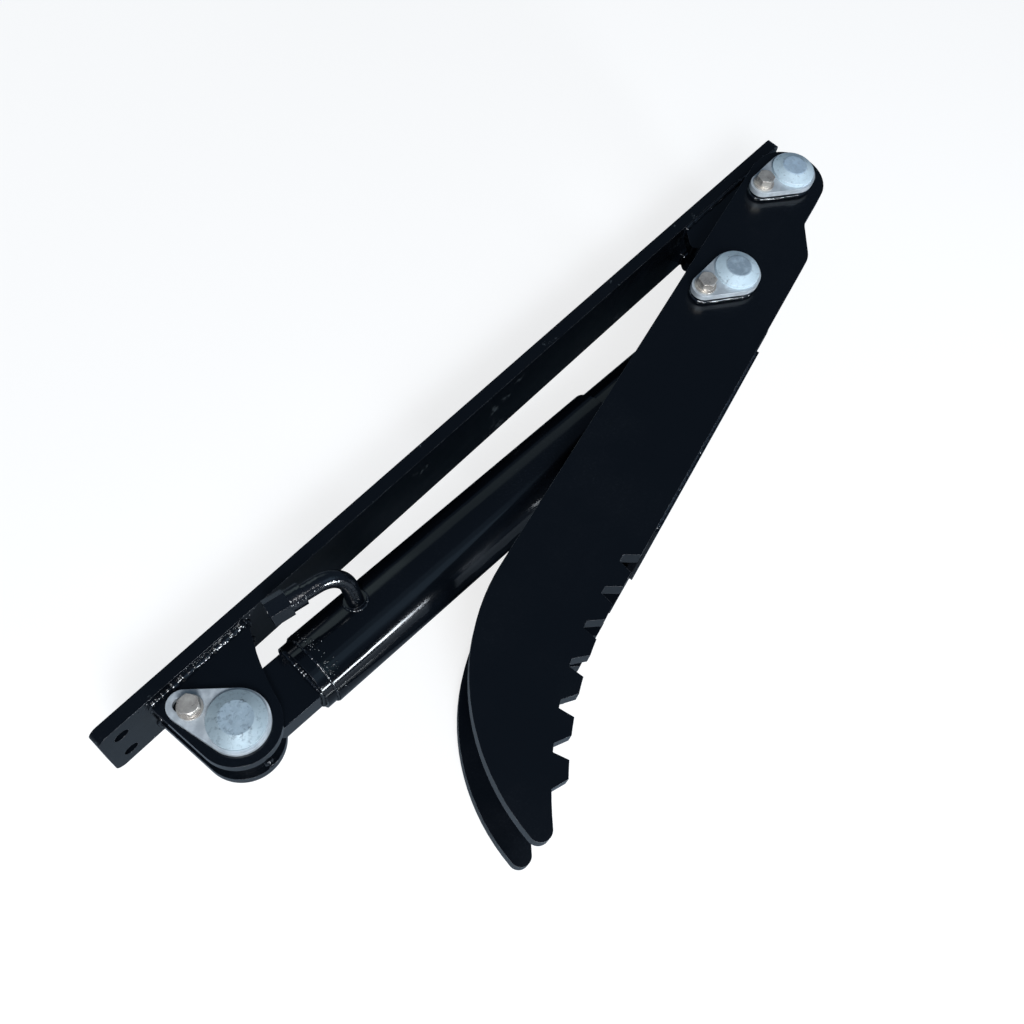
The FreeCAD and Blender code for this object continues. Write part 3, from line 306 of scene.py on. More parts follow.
def paint(name, colour, edge_wear_and_highlight_colour, edge_width, edge_share, wave_depth, peel, gloss, ior=1.46, chips=0.0):
    """Sprayed paint over steel: waves, a little dust, scrapes, and edges of thin paint and painted
    highlight.
    """
    material = bpy.data.materials.new(name)
    tree, shader = shader_of(material)
    edge = group_node(tree, edge_catch, Width=edge_width, Patchiness=0.75)
    waves = group_node(tree, paint_waves, Wave_Scale=34.0, Peel_Scale=500.0, Peel_Share=peel)
    dust = group_node(tree, dust_film, Scale=11.0, Amount=0.35)
    # The edge mask mixes a grey into the paint: partly thin, worn paint and partly a painted highlight.
    edge_mask = math_node(tree, "MULTIPLY", edge.outputs["Mask"], edge_share)
    edge_wear_and_highlight = mix_colour(tree, edge_mask, colour, edge_wear_and_highlight_colour)
    place = tree.nodes.new("ShaderNodeTexCoord").outputs["Object"]
    scrapes = ramp_between(tree, noise_node(tree, place, 24.0, 9.0, 0.75), 0.60, 0.65)
    scraped = mix_colour(tree, math_node(tree, "MULTIPLY", scrapes, chips), edge_wear_and_highlight, (0.10, 0.12, 0.13))
    dusty = mix_colour(tree, dust.outputs["Mask"], scraped, (0.022, 0.026, 0.034))
    tree.links.new(dusty, shader.inputs["Base Color"])
    smudged = math_node(tree, "MULTIPLY", dust.outputs["Smudge"], 0.10)
    rough = math_node(tree, "ADD", smudged, gloss)
    edged = math_node(tree, "MULTIPLY", edge_mask, 0.25)
    tree.links.new(math_node(tree, "ADD", rough, edged), shader.inputs["Roughness"])
    normal = bump_node(tree, waves.outputs["Height"], wave_depth, edge.outputs["Normal"])
    tree.links.new(normal, shader.inputs["Normal"])
    shader.inputs["IOR"].default_value = ior
    return material


BLACK = (0.0022, 0.0033, 0.0052)
# Each paint's second colour is its edge grey, partly worn paint and partly a painted highlight.
black_paint = paint("gloss_black", BLACK, (0.035, 0.045, 0.065), 0.6 * MM, 0.7, 0.22 * MM, 0.06, 0.09)
bar_paint = paint("bar_black", BLACK, (0.15, 0.16, 0.17), 0.6 * MM, 0.8, 0.30 * MM, 0.08, 0.15, chips=0.6)
blade_paint = paint("blade_black", BLACK, (0.20, 0.21, 0.22), 0.5 * MM, 0.9, 0.25 * MM, 0.06, 0.17)
fitting_paint = paint("fitting_black", BLACK, (0.05, 0.06, 0.08), 0.7 * MM, 0.7, 0.8 * MM, 0.30, 0.10, 1.7)
weld_paint = paint("weld_black", BLACK, (0.02, 0.026, 0.040), 0.3 * MM, 0.3, 0.9 * MM, 0.45, 0.08, 2.0)
print("made paints:", [m.name for m in (black_paint, bar_paint, blade_paint, fitting_paint, weld_paint)])

# %% [markdown]
# ## Zinc plate with turning marks
#
# The pin heads are zinc plated: pale, bluish and with a soft sheen. They are turned on a lathe, so
# fine rings run round each pin's line. On the two smaller heads the middle of the face is duller than
# the rim. The heads take lighter and darker shades of the one plating for the light that falls on
# each, which is painted light and shade: the base pin's rim is much darker than the others', and the
# faces go from the pivot pin's, lightest, to the rod pin's, darkest. The rings could be cut into the
# mesh, but at 0.7 mm apart a sine wave in the bump makes them with no extra faces. They need the
# pin's own centre, so the material takes it as a value. Dark scuffs gather about where the face
# meets the bevel, most of all on the base pin.

# %% Zinc material


def zinc(name, centre, ring_radius, tint, dull, wear):
    """Zinc plate with lathe rings about a point, dull inside ring_radius, tint outside, and scuffs."""
    material = bpy.data.materials.new(name)
    tree, shader = shader_of(material)
    place = tree.nodes.new("ShaderNodeTexCoord").outputs["Object"]
    shift = tree.nodes.new("ShaderNodeVectorMath")
    shift.operation = "SUBTRACT"
    tree.links.new(place, shift.inputs[0])
    shift.inputs[1].default_value = centre
    flat = tree.nodes.new("ShaderNodeVectorMath")
    flat.operation = "MULTIPLY"
    tree.links.new(shift.outputs[0], flat.inputs[0])
    flat.inputs[1].default_value = (1, 1, 0)
    length = tree.nodes.new("ShaderNodeVectorMath")
    length.operation = "LENGTH"
    tree.links.new(flat.outputs[0], length.inputs[0])
    reach = length.outputs["Value"]
    rings = math_node(tree, "SINE", math_node(tree, "MULTIPLY", reach, 2 * math.pi / (0.7 * MM)))
    outside = ramp_between(tree, reach, ring_radius - 0.8 * MM, ring_radius + 0.8 * MM)
    blotch = noise_node(tree, place, 160.0, 6.0, 0.65)
    chalk = ramp_between(tree, noise_node(tree, place, 170.0, 8.0, 0.7), 0.40, 0.70)
    edge = group_node(tree, edge_catch, Width=0.8 * MM, Patchiness=0.2)
    pits = ramp_between(tree, noise_node(tree, place, 330.0, 4.0, 0.6), 0.60, 0.70)
    from_rim = math_node(tree, "ABSOLUTE", math_node(tree, "SUBTRACT", reach, ring_radius))
    near_rim = ramp_between(tree, from_rim, 3.5 * MM, 0.3 * MM)
    scuffs = ramp_between(tree, noise_node(tree, place, 210.0, 9.0, 0.75), 0.52, 0.58)
    gathered = math_node(tree, "ADD", math_node(tree, "MULTIPLY", near_rim, 0.45), 0.30)
    scuff_share = math_node(tree, "MULTIPLY", gathered, wear)
    bright = tuple(v * 1.15 for v in tint)
    inner = mix_colour(tree, chalk, dull, tuple(v * 1.2 for v in dull))
    body = mix_colour(tree, outside, inner, tint)
    spots = math_node(tree, "MULTIPLY", ramp_between(tree, blotch, 0.45, 0.75), 0.4)
    spotted = mix_colour(tree, spots, body, bright)
    pitted = mix_colour(tree, math_node(tree, "MULTIPLY", pits, 0.55), spotted, (0.16, 0.18, 0.20))
    scuffed = mix_colour(tree, math_node(tree, "MULTIPLY", scuffs, scuff_share), pitted, (0.10, 0.12, 0.14))
    # Near-white along the edges is a painted highlight.
    with_edge_highlight = mix_colour(tree, edge.outputs["Mask"], scuffed, (0.86, 0.89, 0.93))
    tree.links.new(with_edge_highlight, shader.inputs["Base Color"])
    shader.inputs["Metallic"].default_value = 0.20
    rough = math_node(tree, "MULTIPLY", chalk, 0.12)
    tree.links.new(math_node(tree, "ADD", rough, 0.48), shader.inputs["Roughness"])
    height = math_node(tree, "ADD", math_node(tree, "MULTIPLY", rings, 0.3), blotch)
    normal = bump_node(tree, height, 0.06 * MM, edge.outputs["Normal"])
    tree.links.new(normal, shader.inputs["Normal"])
    return material


ZINC = (0.60, 0.72, 0.78)
CHALK = (0.31, 0.39, 0.45)
# The heads take different shades of the one plating, which is painted light and shade.
pin_zinc = {
    "base_pin": zinc("zinc_base_pin", base_pin, 14 * MM, (0.35, 0.43, 0.47), CHALK, 1.0),
    "pivot_pin": zinc("zinc_pivot_pin", pivot, 12.5 * MM, ZINC, (0.42, 0.53, 0.63), 0.3),
    "rod_pin": zinc("zinc_rod_pin", rod_pin, 12.5 * MM, ZINC, (0.28, 0.35, 0.41), 0.3),
}
print("made zinc for:", list(pin_zinc))

# %% [markdown]
# ### Plain steel, bronze and chrome
#
# The retainers, bolts, washers, bushes, piston and rod are plainer: one colour, clouded by a second,
# with a fine grain. They share one function and a table of values, since only the numbers differ. The
# rod's grain is almost nothing, because chrome is ground and polished.

# %% Plain metals


def plain_metal(name, colour, second, metallic, roughness, grain_scale, grain_depth):
    """Bare or plated metal with a mottled second colour and a fine grain."""
    material = bpy.data.materials.new(name)
    tree, shader = shader_of(material)
    place = tree.nodes.new("ShaderNodeTexCoord").outputs["Object"]
    clouds = ramp_between(tree, noise_node(tree, place, 120.0, 5.0, 0.6), 0.38, 0.68)
    edge = group_node(tree, edge_catch, Width=0.6 * MM, Patchiness=0.3)
    body = mix_colour(tree, clouds, colour, second)
    # A lighter copy of the colour is mixed in along the edges: a painted highlight.
    edge_highlight_colour = tuple(min(1.0, v * 1.3 + 0.05) for v in colour)
    tree.links.new(mix_colour(tree, edge.outputs["Mask"], body, edge_highlight_colour), shader.inputs["Base Color"])
    shader.inputs["Metallic"].default_value = metallic
    spread = math_node(tree, "MULTIPLY", clouds, 0.12)
    tree.links.new(math_node(tree, "ADD", spread, roughness), shader.inputs["Roughness"])
    grain = noise_node(tree, place, grain_scale, 3.0)
    normal = bump_node(tree, grain, grain_depth, edge.outputs["Normal"])
    tree.links.new(normal, shader.inputs["Normal"])
    return material


METALS = {
    "zinc_plate": ((0.46, 0.50, 0.53), (0.58, 0.62, 0.65), 0.35, 0.42, 700.0, 0.05 * MM),
    "yellow_zinc": ((0.46, 0.42, 0.38), (0.64, 0.60, 0.54), 0.55, 0.27, 800.0, 0.04 * MM),
    "bright_steel": ((0.50, 0.50, 0.51), (0.58, 0.57, 0.56), 1.0, 0.28, 900.0, 0.03 * MM),
    "bronze": ((0.52, 0.33, 0.14), (0.60, 0.42, 0.20), 1.0, 0.32, 900.0, 0.03 * MM),
    "chrome_rod": ((0.74, 0.75, 0.77), (0.78, 0.79, 0.80), 1.0, 0.07, 1500.0, 0.004 * MM),
}
metals = {name: plain_metal(name, *values) for name, values in METALS.items()}
print("made metals:", list(metals))

# %% [markdown]
# ## Seals
#
# The wiper at the cylinder head's mouth is the one seal that shows. It is a dark, slightly dusty
# rubber. Moulded rubber is even, so it takes the dust group's smudges and no waves.

# %% Rubber material


def rubber(name):
    material = bpy.data.materials.new(name)
    tree, shader = shader_of(material)
    dust = group_node(tree, dust_film, Scale=40.0, Amount=0.6)
    colour = mix_colour(tree, dust.outputs["Smudge"], (0.016, 0.016, 0.018), (0.035, 0.034, 0.034))
    tree.links.new(colour, shader.inputs["Base Color"])
    rough = math_node(tree, "MULTIPLY", dust.outputs["Smudge"], 0.15)
    tree.links.new(math_node(tree, "ADD", rough, 0.55), shader.inputs["Roughness"])
    return material


seal_rubber = rubber("seal_rubber")
print("made", seal_rubber.name)

# %% [markdown]
# ## One finish for each piece
#
# In the workshop the welded parts are sprayed, and the pins, bolts and bushes go in afterwards. So
# every node starts with black paint, and the pieces that are fitted later get a finish of their own.
# The blades, the bar and the pipe fittings keep to black, each in its own shade and gloss. A table
# from node to material keeps this in one place.

# %% Dress the CAD nodes
finish_of = {name: black_paint for name in nodes}
finish_of.update({"blade_near": blade_paint, "blade_far": blade_paint, "mounting_bar": bar_paint})
for port in ("cap_port", "rod_port"):
    for piece in ("pipe", "sleeve", "nut"):
        finish_of["%s_%s" % (port, piece)] = fitting_paint
finish_of["grease_nipple"] = fitting_paint
finish_of.update(pin_zinc)
for pin_name in pin_zinc:
    finish_of[pin_name + "_retainer"] = metals["zinc_plate"]
    finish_of[pin_name + "_bolt"] = metals["yellow_zinc"]
for steel_name in ("piston", "piston_nut", "thrust_washer_near", "thrust_washer_far"):
    finish_of[steel_name] = metals["bright_steel"]
for bush_name in ("pivot_bush_near", "pivot_bush_far", "lug_bush"):
    finish_of[bush_name] = metals["bronze"]
for seal_name in ("rod_seal", "rod_wiper", "piston_seal"):
    finish_of[seal_name] = seal_rubber
finish_of["rod"] = metals["chrome_rod"]

for name, node in nodes.items():
    node.data.materials.clear()
    node.data.materials.append(finish_of[name])
print("dressed", len(finish_of), "nodes")

# %% [markdown]
# ## Weld beads
#
# A weld bead is a row of small overlapping puddles laid along a corner. A curve with a round profile
# would be quick to make, but it swells by the same share all round, and a puddle's edge is a bow. So
# a bead here is a mesh tube along a path, half sunk in the corner, made of rings at even steps.

# %% Even steps along a path
SIDES = 10


def walk(points, closed, step):
    """Evenly spaced points and their headings along a path."""
    ends = points + [points[0]] if closed else points
    total = sum((b - a).length for a, b in zip(ends, ends[1:]))
    count = max(4, round(total / step))
    spots = []
    leg = 0
    leg_start = 0.0
    for i in range(count if closed else count + 1):
        travelled = total * i / count
        while leg < len(ends) - 2 and travelled > leg_start + (ends[leg + 1] - ends[leg]).length:
            leg_start += (ends[leg + 1] - ends[leg]).length
            leg += 1
        way = (ends[leg + 1] - ends[leg]).normalized()
        spots.append((ends[leg] + way * (travelled - leg_start), way, travelled))
    return spots


print("a bead has", SIDES, "sides")

# %% [markdown]
# ### From steps to puddles
#
# Each ring's radius swells and shrinks once for each puddle, and the swelling is drawn back at the
# sides, so that the ripples look like scales. A welder's hand isn't even, so each puddle gets its own
# height, and the line drifts a little. One function makes all the beads, from a list of points and a
# size.

# %% The bead maker


def bead(name, points, size, up, body, closed=False, seed=1):
    """A rippled weld bead along a path. up is roughly the way that the weld faces."""
    rng = random.Random(seed)
    puddle = size * 0.9
    mesh = bpy.data.meshes.new(name)
    shape = bmesh.new()
    rings = []
    spots = walk(points, closed, size * 0.36)
    lumps = [rng.uniform(0.72, 1.15) for _ in range(int(spots[-1][2] / puddle) + 3)]
    drift = 0.0
    for spot, way, travelled in spots:
        side = way.cross(up).normalized()
        top = side.cross(way).normalized()
        drift = drift * 0.85 + rng.uniform(-1, 1) * size * 0.07
        ring = []
        for k in range(SIDES):
            turn = 2 * math.pi * k / SIDES
            lag = 0.9 * abs(math.sin(turn))
            phase = travelled / puddle + lag
            swell = lumps[int(phase)] * (0.86 + 0.26 * abs(math.sin(math.pi * phase)))
            out = side * math.sin(turn) + top * math.cos(turn)
            ring.append(shape.verts.new(spot + side * drift + out * size * swell))
        rings.append(ring)
    pairs = list(zip(rings, rings[1:]))
    if closed:
        pairs.append((rings[-1], rings[0]))
    for first, second in pairs:
        for k in range(SIDES):
            n = (k + 1) % SIDES
            shape.faces.new((first[k], first[n], second[n], second[k]))
    if not closed:
        for ring, way in ((rings[0], -1), (rings[-1], 1)):
            spot, heading, _ = spots[0] if way < 0 else spots[-1]
            pole = shape.verts.new(spot + heading * way * size * 0.8)
            for k in range(SIDES):
                n = (k + 1) % SIDES
                shape.faces.new((ring[n], ring[k], pole) if way > 0 else (ring[k], ring[n], pole))
    bmesh.ops.recalc_face_normals(shape, faces=shape.faces)
    shape.to_mesh(mesh)
    shape.free()
    for face in mesh.polygons:
        face.use_smooth = True
    piece = bpy.data.objects.new(name, mesh)
    bpy.context.scene.collection.objects.link(piece)
    mesh.materials.append(weld_paint)
    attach(piece, body)
    return piece


def circle(centre, radius, across, steps=48, start=0.0, sweep=2 * math.pi):
    """Points round a circle that lies square to across."""
    first = across.orthogonal().normalized()
    second = across.cross(first).normalized()
    count = steps if sweep >= 2 * math.pi else steps + 1
    turns = [start + sweep * i / steps for i in range(count)]
    return [centre + first * math.cos(t) * radius + second * math.sin(t) * radius for t in turns]


UP = Vector((0, 0, 1))
beads = []
print("bead maker ready")

# %% [markdown]
# ## Welds on the bar
#
# Each ear is welded round its foot. The bead sits in the corner between the ear's side and the
# bar's face, so its path is the foot's outline, moved out by a little less than the bead's size. On
# the cylinder ears the outer side is stitched in two runs that stop short of the foot's ends.

# %% Round the ears' feet


def foot_path(x_low, x_high, z_low, z_high, size):
    """Rectangle round an ear's foot on the bar's face, with short corners cut across."""
    gap = size * 0.35
    y = bar_front - size * 0.25
    left, right = x_low - gap, x_high + gap
    low, high = z_low - gap, z_high + gap
    cut = 2.5 * MM
    outline = [
        (left + cut, low), (right - cut, low), (right, low + cut), (right, high - cut),
        (right - cut, high), (left + cut, high), (left, high - cut), (left, low + cut),
    ]
    return [Vector((x, y, z)) for x, z in outline]


PIVOT_EAR_FEET = {"pivot_ear_near": 104 * MM, "pivot_ear_far": 84 * MM}
PIVOT_EAR_NOSE = 54 * MM
STITCHES = ((-0.016, 0.021), (0.026, 0.058))
away_from_bar = Vector((0, -1, 0))
for side, ear in ((1, "cylinder_ear_near"), (-1, "cylinder_ear_far")):
    low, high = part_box(ear)
    outer = high.z if side > 0 else low.z
    inner = low.z if side > 0 else high.z
    for start, end in STITCHES:
        ends = [
            Vector((base_pin.x + x, bar_front - 0.4 * MM, outer + side * 0.6 * MM)) for x in (start, end)
        ]
        label = "%s_stitch_%d" % (ear, len(beads))
        beads.append(bead(label, ends, 3.3 * MM, away_from_bar, "base", False, len(beads) + 2))
    path = foot_path(low.x, high.x, min(inner, outer), max(inner, outer), 1.6 * MM)
    beads.append(bead(ear + "_weld", path, 1.6 * MM, away_from_bar, "base", True, len(beads)))
for ear, foot_reach in PIVOT_EAR_FEET.items():
    low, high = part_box(ear)
    path = foot_path(pivot.x - foot_reach, pivot.x + PIVOT_EAR_NOSE, low.z, high.z, 2.6 * MM)
    beads.append(bead(ear + "_weld", path, 2.6 * MM, away_from_bar, "base", True, len(beads)))

tube_low, tube_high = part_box("pivot_tube")
tube_radius = (tube_high.x - tube_low.x) / 2
face_low, face_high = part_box("pivot_ear_near")
for side in (-1, 1):
    for ear_face, outward in ((face_high.z, 1), (face_low.z, -1)):
        centre = Vector((pivot.x, pivot.y, side * (ear_face + outward * 1.0 * MM)))
        path = circle(centre, tube_radius + 1.0 * MM, UP)
        label = "pivot_tube_weld_%d" % len(beads)
        beads.append(bead(label, path, 2.6 * MM, Vector((0, 0, side * outward)), "base", True, len(beads)))
print("bar welds:", len(beads))

# %% [markdown]
# ## Welds on the cylinder
#
# The cap lug is welded to the end cap, the cap to the tube, the port pads to the tube, and the rod
# eye's neck to the rod. The rings run round the cylinder's line. The pads' rings follow the barrel's
# round, which a circle can't, so their points are dropped onto the barrel one by one.

# %% Rings along the cylinder
TUBE_RADIUS = 34 * MM
TUBE_START = 76 * MM
CAP_START = 65 * MM
ROD_RADIUS = 15 * MM
ROD_END = 540.1 * MM


def cylinder_ring(name, along, radius, size, body, seed):
    centre = on_cylinder(along, 0, 0)
    path = circle(centre, radius, cylinder_ahead)
    beads.append(bead(name, path, size, cylinder_ahead, body, True, seed))


cylinder_ring("cap_weld", TUBE_START - 0.5 * MM, TUBE_RADIUS - 2.0 * MM, 1.4 * MM, "barrel", 21)
cylinder_ring("rod_eye_weld", ROD_END - 0.5 * MM, ROD_RADIUS + 0.6 * MM, 2.2 * MM, "rod", 22)

LUG_NECK = 25 * MM
LUG_HALF = 14.5 * MM


def lug_neck_path():
    gap = 0.6 * MM
    half, thick = LUG_NECK + gap, LUG_HALF + gap
    cut = 2 * MM
    corners = [
        (-half + cut, -thick), (half - cut, -thick), (half, -thick + cut), (half, thick - cut),
        (half - cut, thick), (-half + cut, thick), (-half, thick - cut), (-half, -thick + cut),
    ]
    start = on_cylinder(CAP_START - 0.4 * MM, 0, 0)
    return [start + cylinder_aside * a + UP * z for a, z in corners]


beads.append(bead("lug_neck_weld", lug_neck_path(), 1.8 * MM, -cylinder_ahead, "barrel", True, 23))

PORTS = {"cap": (134 * MM, math.radians(68)), "rod": (404.1 * MM, math.radians(-75))}
PAD_RADIUS = 10 * MM


def pad_ring(station, turn):
    """Points round a port pad, each on the barrel's surface."""
    points = []
    for i in range(40):
        angle = 2 * math.pi * i / 40
        along = station + (PAD_RADIUS + 0.3 * MM) * math.cos(angle)
        aside = (PAD_RADIUS + 0.3 * MM) * math.sin(angle)
        lean = math.asin(aside / TUBE_RADIUS)
        points.append(on_cylinder(along, TUBE_RADIUS + 0.2 * MM, turn + lean))
    return points


for key, (station, turn) in PORTS.items():
    facing = cylinder_aside * math.cos(turn) + UP * math.sin(turn)
    path = pad_ring(station, turn)
    beads.append(bead(key + "_pad_weld", path, 1.2 * MM, facing, "barrel", True, len(beads)))
print("with the cylinder's:", len(beads))

# %% [markdown]
# ## Welds on the thumb
#
# The pads under the retainers, the far collars, the spacers, the two cross tubes and the cross plate
# are welded to the blades. Most are rings. The pads' outline is a teardrop: two circles and the
# straight lines that touch both.

# %% Teardrops, rings and runs
PAD_BIG = 22 * MM
PAD_TOE = 10.5 * MM
PAD_REACH = 38.5 * MM
pad_turn = blade_turn + math.radians(-29)


def teardrop_path(centre, height, grow):
    big, toe = PAD_BIG + grow, PAD_TOE + grow
    lean = math.acos((big - toe) / PAD_REACH)
    far = centre + Vector((math.cos(pad_turn), math.sin(pad_turn), 0)) * PAD_REACH
    points = []
    for i in range(33):
        turn = pad_turn + lean + (2 * math.pi - 2 * lean) * i / 32
        points.append(Vector((centre.x + big * math.cos(turn), centre.y + big * math.sin(turn), height)))
    for i in range(13):
        turn = pad_turn - lean + 2 * lean * i / 12
        points.append(Vector((far.x + toe * math.cos(turn), far.y + toe * math.sin(turn), height)))
    return points


for label, centre in (("pivot_pin", pivot), ("rod_pin", rod_pin)):
    path = teardrop_path(centre, blade_top + 0.5 * MM, 0.5 * MM)
    beads.append(bead(label + "_pad_weld", path, 1.9 * MM, UP, "thumb", True, len(beads)))
    low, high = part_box(label + "_collar")
    spot = Vector((centre.x, centre.y, -blade_top - 0.6 * MM))
    path = circle(spot, (high.x - low.x) / 2 + 0.6 * MM, UP)
    beads.append(bead(label + "_collar_weld", path, 2.4 * MM, -UP, "thumb", True, len(beads)))

for side in (-1, 1):
    inner = side * (blade_inside - 0.8 * MM)
    facing = Vector((0, 0, -side))
    for tube in ("upper_cross_tube", "lower_cross_tube", "rod_spacer_near"):
        low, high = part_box(tube)
        spot = Vector(((low.x + high.x) / 2, (low.y + high.y) / 2, inner))
        path = circle(spot, (high.x - low.x) / 2 + 0.8 * MM, UP)
        label = "%s_weld_%s" % (tube, "near" if side > 0 else "far")
        beads.append(bead(label, path, 2.6 * MM, facing, "thumb", True, len(beads)))

PLATE_START = 204 * MM
PLATE_END = 430 * MM
PLATE_FACE = 60.5 * MM
PLATE_BACK = 50.5 * MM
for side in (-1, 1):
    inner = side * (blade_inside - 0.6 * MM)
    for off, facing in ((PLATE_FACE - 3.0 * MM, 1), (PLATE_BACK - 0.6 * MM, -1)):
        path = [on_blade(PLATE_START + 4 * MM, off, inner), on_blade(PLATE_END - 4 * MM, off, inner)]
        towards = (on_blade(0, facing, 0) - on_blade(0, 0, 0)).normalized()
        label = "cross_plate_weld_%d" % len(beads)
        beads.append(bead(label, path, 1.9 * MM, towards, "thumb", False, len(beads)))
print("all welds:", len(beads))

# %% [markdown]
# ## Spatter
#
# Welding throws off small drops that stick beside the bead and get painted over. They could be a
# bump, but they catch the light as round grains, so each is a small flattened ball. They lie near the
# barrel's end and beside the cylinder ears' feet. The random numbers are
# seeded, so that every run puts them in the same places.

# %% Drops beside the beads


def spatter(name, places, body, seed):
    """Small painted drops. places is a list of (point, outward)."""
    rng = random.Random(seed)
    mesh = bpy.data.meshes.new(name)
    shape = bmesh.new()
    for point, outward in places:
        radius = rng.uniform(0.4, 1.1) * MM
        turn = outward.to_track_quat("Z", "Y").to_matrix().to_4x4()
        place = Matrix.Translation(point) @ turn @ Matrix.Diagonal((1, 1, 0.6, 1))
        bmesh.ops.create_icosphere(shape, subdivisions=1, radius=radius, matrix=place)
    shape.to_mesh(mesh)
    shape.free()
    for face in mesh.polygons:
        face.use_smooth = True
    mesh.materials.append(weld_paint)
    piece = bpy.data.objects.new(name, mesh)
    bpy.context.scene.collection.objects.link(piece)
    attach(piece, body)
    return piece


# Each cluster on the barrel has a middle and a spread, both in degrees from the bar, and a count.
CLUSTERS = ((122, 7, 26), (72, 8, 22), (90, 60, 36))
BAR_DROPS = 60
BAR_HALF_WIDTH = 39 * MM
rng = random.Random(7)
barrel_drops = []
for around, spread, count in CLUSTERS:
    for _ in range(count):
        turn = math.radians(rng.gauss(around, spread))
        along = TUBE_START + abs(rng.gauss(0, 6)) * MM + 2 * MM
        out = cylinder_aside * math.cos(turn) + UP * math.sin(turn)
        barrel_drops.append((on_cylinder(along, TUBE_RADIUS, turn), out))
bar_drops = []
ear_low, ear_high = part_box("cylinder_ear_near")
for _ in range(BAR_DROPS):
    x = rng.uniform(ear_low.x - 12 * MM, ear_high.x + 14 * MM)
    z = rng.choice((-1, 1)) * (ear_high.z + 3 * MM + abs(rng.gauss(0, 3)) * MM)
    if abs(z) < BAR_HALF_WIDTH:
        bar_drops.append((Vector((x, bar_front, z)), away_from_bar))
spatter("barrel_spatter", barrel_drops, "barrel", 8)
spatter("bar_spatter", bar_drops, "base", 9)
print("drops:", len(barrel_drops) + len(bar_drops))

# %% [markdown]
# ## Floor and room
#
# The photograph is cut out on white, so the floor is white to the camera and keeps only a soft
# shadow. A plain white floor would do that too, but it would also light the thumb from below. So
# mirrors see a grey floor, and every other ray a dark one. Gloss black mirrors the room as well as
# the lamps, so the room is kept dim and a little blue.

# %% Floor and room
FLOOR_REACH = 30.0
FLOOR_GAP = 0.5 * MM
floor_height = cad_box[0][2] - FLOOR_GAP
floor_mesh = bpy.data.meshes.new("floor")
corners = [(x * FLOOR_REACH, y * FLOOR_REACH) for x, y in ((-1, -1), (1, -1), (1, 1), (-1, 1))]
floor_mesh.from_pydata([(x, y, floor_height) for x, y in corners], [], [(0, 1, 2, 3)])
floor = bpy.data.objects.new("floor", floor_mesh)
bpy.context.scene.collection.objects.link(floor)


def white_floor():
    """Matt white, lifted towards plain white for the camera, grey in mirrors and dark to the rest."""
    material = bpy.data.materials.new("white_floor")
    tree, shader = shader_of(material)
    shader.inputs["Roughness"].default_value = 0.9
    glow = tree.nodes.new("ShaderNodeEmission")
    glow.inputs["Strength"].default_value = 1.2
    ray = tree.nodes.new("ShaderNodeLightPath")
    seen = math_node(tree, "MAXIMUM", ray.outputs["Is Camera Ray"], ray.outputs["Is Transmission Ray"])
    hidden = mix_colour(tree, ray.outputs["Is Glossy Ray"], (0.08, 0.09, 0.11), (0.16, 0.19, 0.22))
    colour = mix_colour(tree, seen, hidden, (0.82, 0.82, 0.82))
    tree.links.new(colour, shader.inputs["Base Color"])
    share = math_node(tree, "MULTIPLY", seen, 0.66)
    mix = tree.nodes.new("ShaderNodeMixShader")
    tree.links.new(share, mix.inputs["Fac"])
    tree.links.new(shader.outputs["BSDF"], mix.inputs[1])
    tree.links.new(glow.outputs["Emission"], mix.inputs[2])
    tree.links.new(mix.outputs["Shader"], tree.nodes["Material Output"].inputs["Surface"])
    return material


floor_mesh.materials.append(white_floor())

world = bpy.data.worlds.new("room")
bpy.context.scene.world = world
world.use_nodes = True
room = world.node_tree
background = room.nodes["Background"]
ray = room.nodes.new("ShaderNodeLightPath")
background.inputs["Strength"].default_value = 1.0
room_colour = room.nodes.new("ShaderNodeMix")
room_colour.data_type = "RGBA"
room.links.new(ray.outputs["Is Camera Ray"], room_colour.inputs["Factor"])
room_colour.inputs[6].default_value = (0.055, 0.080, 0.12, 1)
room_colour.inputs[7].default_value = (0.815, 0.815, 0.815, 1)
room.links.new(room_colour.outputs[2], background.inputs["Color"])
print("floor at", round(floor_height, 4))

# %% [markdown]
# ## Lamps
#
# A glossy black cylinder shows each lamp that it mirrors as a band along its length. So each lamp
# has one job, and its place was found by following the camera's rays off the barrel. The washes give
# the soft bands along its upper and lower sides, and the thin streak is a lamp that it sees through
# the gap between the blades. The key lamp and its small core light the zinc and the welds. The lamps
# are rectangles, because a tube mirrors them as straight bands. The camera doesn't see them directly.

# %% Lamps
OBJECT_MIDDLE = Vector((-0.40, -0.12, 0.0))


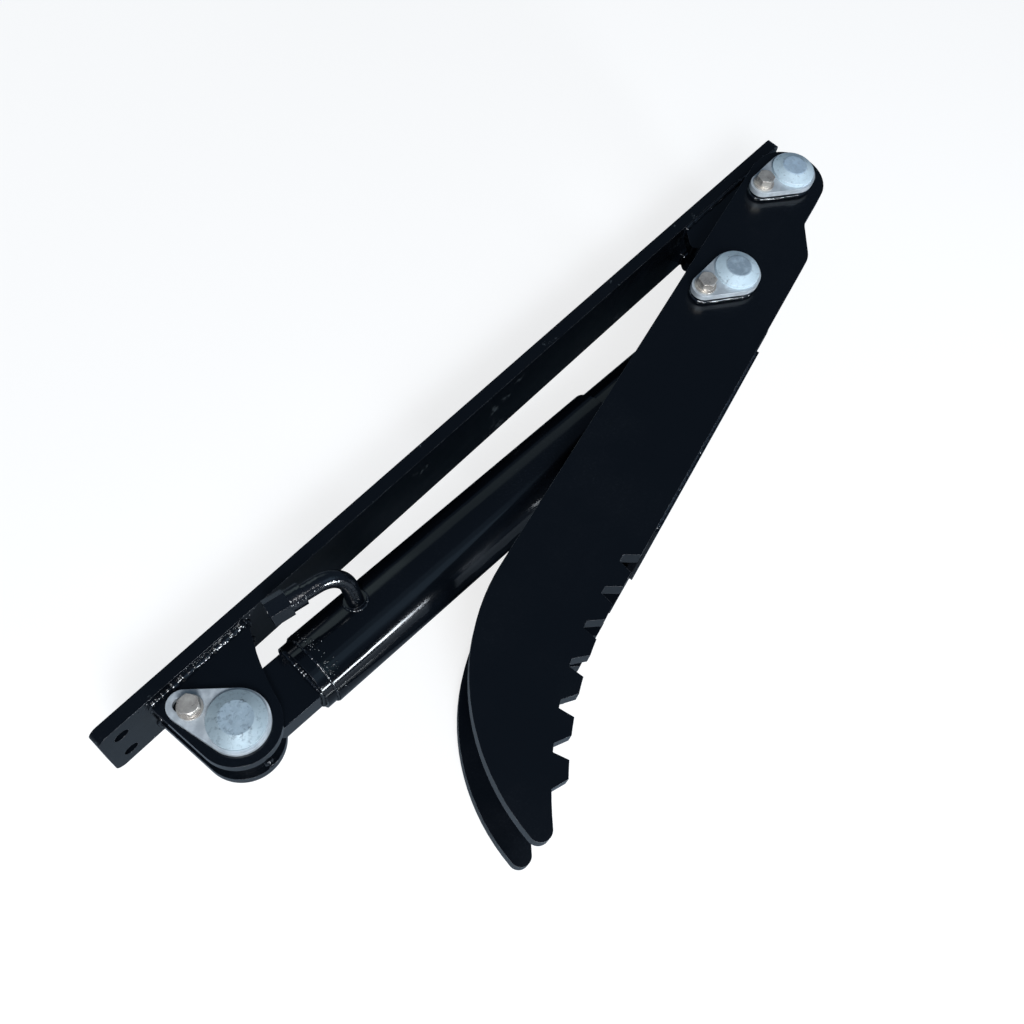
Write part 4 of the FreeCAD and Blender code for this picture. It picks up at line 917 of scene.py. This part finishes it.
def soft_lamp(name, place, aim, size, watts, tint=(1, 1, 1)):
    """A rectangular lamp that looks at a point, long side level."""
    data = bpy.data.lights.new(name, "AREA")
    data.shape = "RECTANGLE"
    data.size, data.size_y = size
    data.energy = watts
    data.color = tint
    lamp = bpy.data.objects.new(name, data)
    bpy.context.scene.collection.objects.link(lamp)
    lamp.location = place
    lamp.rotation_euler = (aim - Vector(place)).to_track_quat("-Z", "Y").to_euler()
    lamp.visible_camera = False
    return lamp


THROUGH_GAP = Vector((-0.42, -0.1, 0.03))
OVER_BARREL = Vector((0.30, -0.1, 0.0))
soft_lamp("key", (-1.7, -1.3, 1.9), OBJECT_MIDDLE, (1.2, 1.2), 36)
soft_lamp("key_core", (-1.68, -1.28, 1.88), OBJECT_MIDDLE, (0.5, 0.5), 27, (0.80, 0.90, 1.0))
soft_lamp("bar_wash", (0.1, 1.7, 1.3), OBJECT_MIDDLE, (2.2, 1.1), 1.8, (0.80, 1.0, 1.0))
soft_lamp("base_wash", (-0.45, 1.7, 1.3), OBJECT_MIDDLE, (1.3, 0.9), 1.1, (0.80, 1.0, 1.0))
soft_lamp("barrel_streak", (-0.42, -1.9, 0.34), THROUGH_GAP, (0.46, 0.30), 26, (0.86, 0.93, 1.0))
soft_lamp("blue_wash", (0.30, -1.38, 1.63), OVER_BARREL, (1.5, 0.7), 0.9, (0.50, 0.75, 1.0))
soft_lamp("blue_rim", (0.30, -1.30, 1.75), OVER_BARREL, (2.0, 1.5), 1.5, (0.50, 0.75, 1.0))

# %% [markdown]
# ## The camera
#
# The camera stands where the photograph was taken from. Its place, direction and lens come from
# fitting the thumb's outlines to the photograph's, so that the two pictures can be laid over each
# other.

# %% Camera at the photograph's place
CAMERA_AT = Vector((-0.8552, -0.3116, 0.8864))
LOOK = Vector((0.3993, 0.2194, -0.8902)).normalized()
CAMERA_UP = Vector((0.6332, 0.6362, 0.4408))
right = LOOK.cross(CAMERA_UP).normalized()
upward = right.cross(LOOK).normalized()
camera_data = bpy.data.cameras.new("camera")
camera_data.sensor_width = 36.0
camera_data.lens = 38.474
camera = bpy.data.objects.new("camera", camera_data)
bpy.context.scene.collection.objects.link(camera)
turned = Matrix((right, upward, -LOOK)).transposed().to_4x4()
camera.matrix_world = Matrix.Translation(CAMERA_AT) @ turned
bpy.context.scene.camera = camera
bpy.context.scene.view_settings.view_transform = "Standard"
print("camera at", tuple(CAMERA_AT))
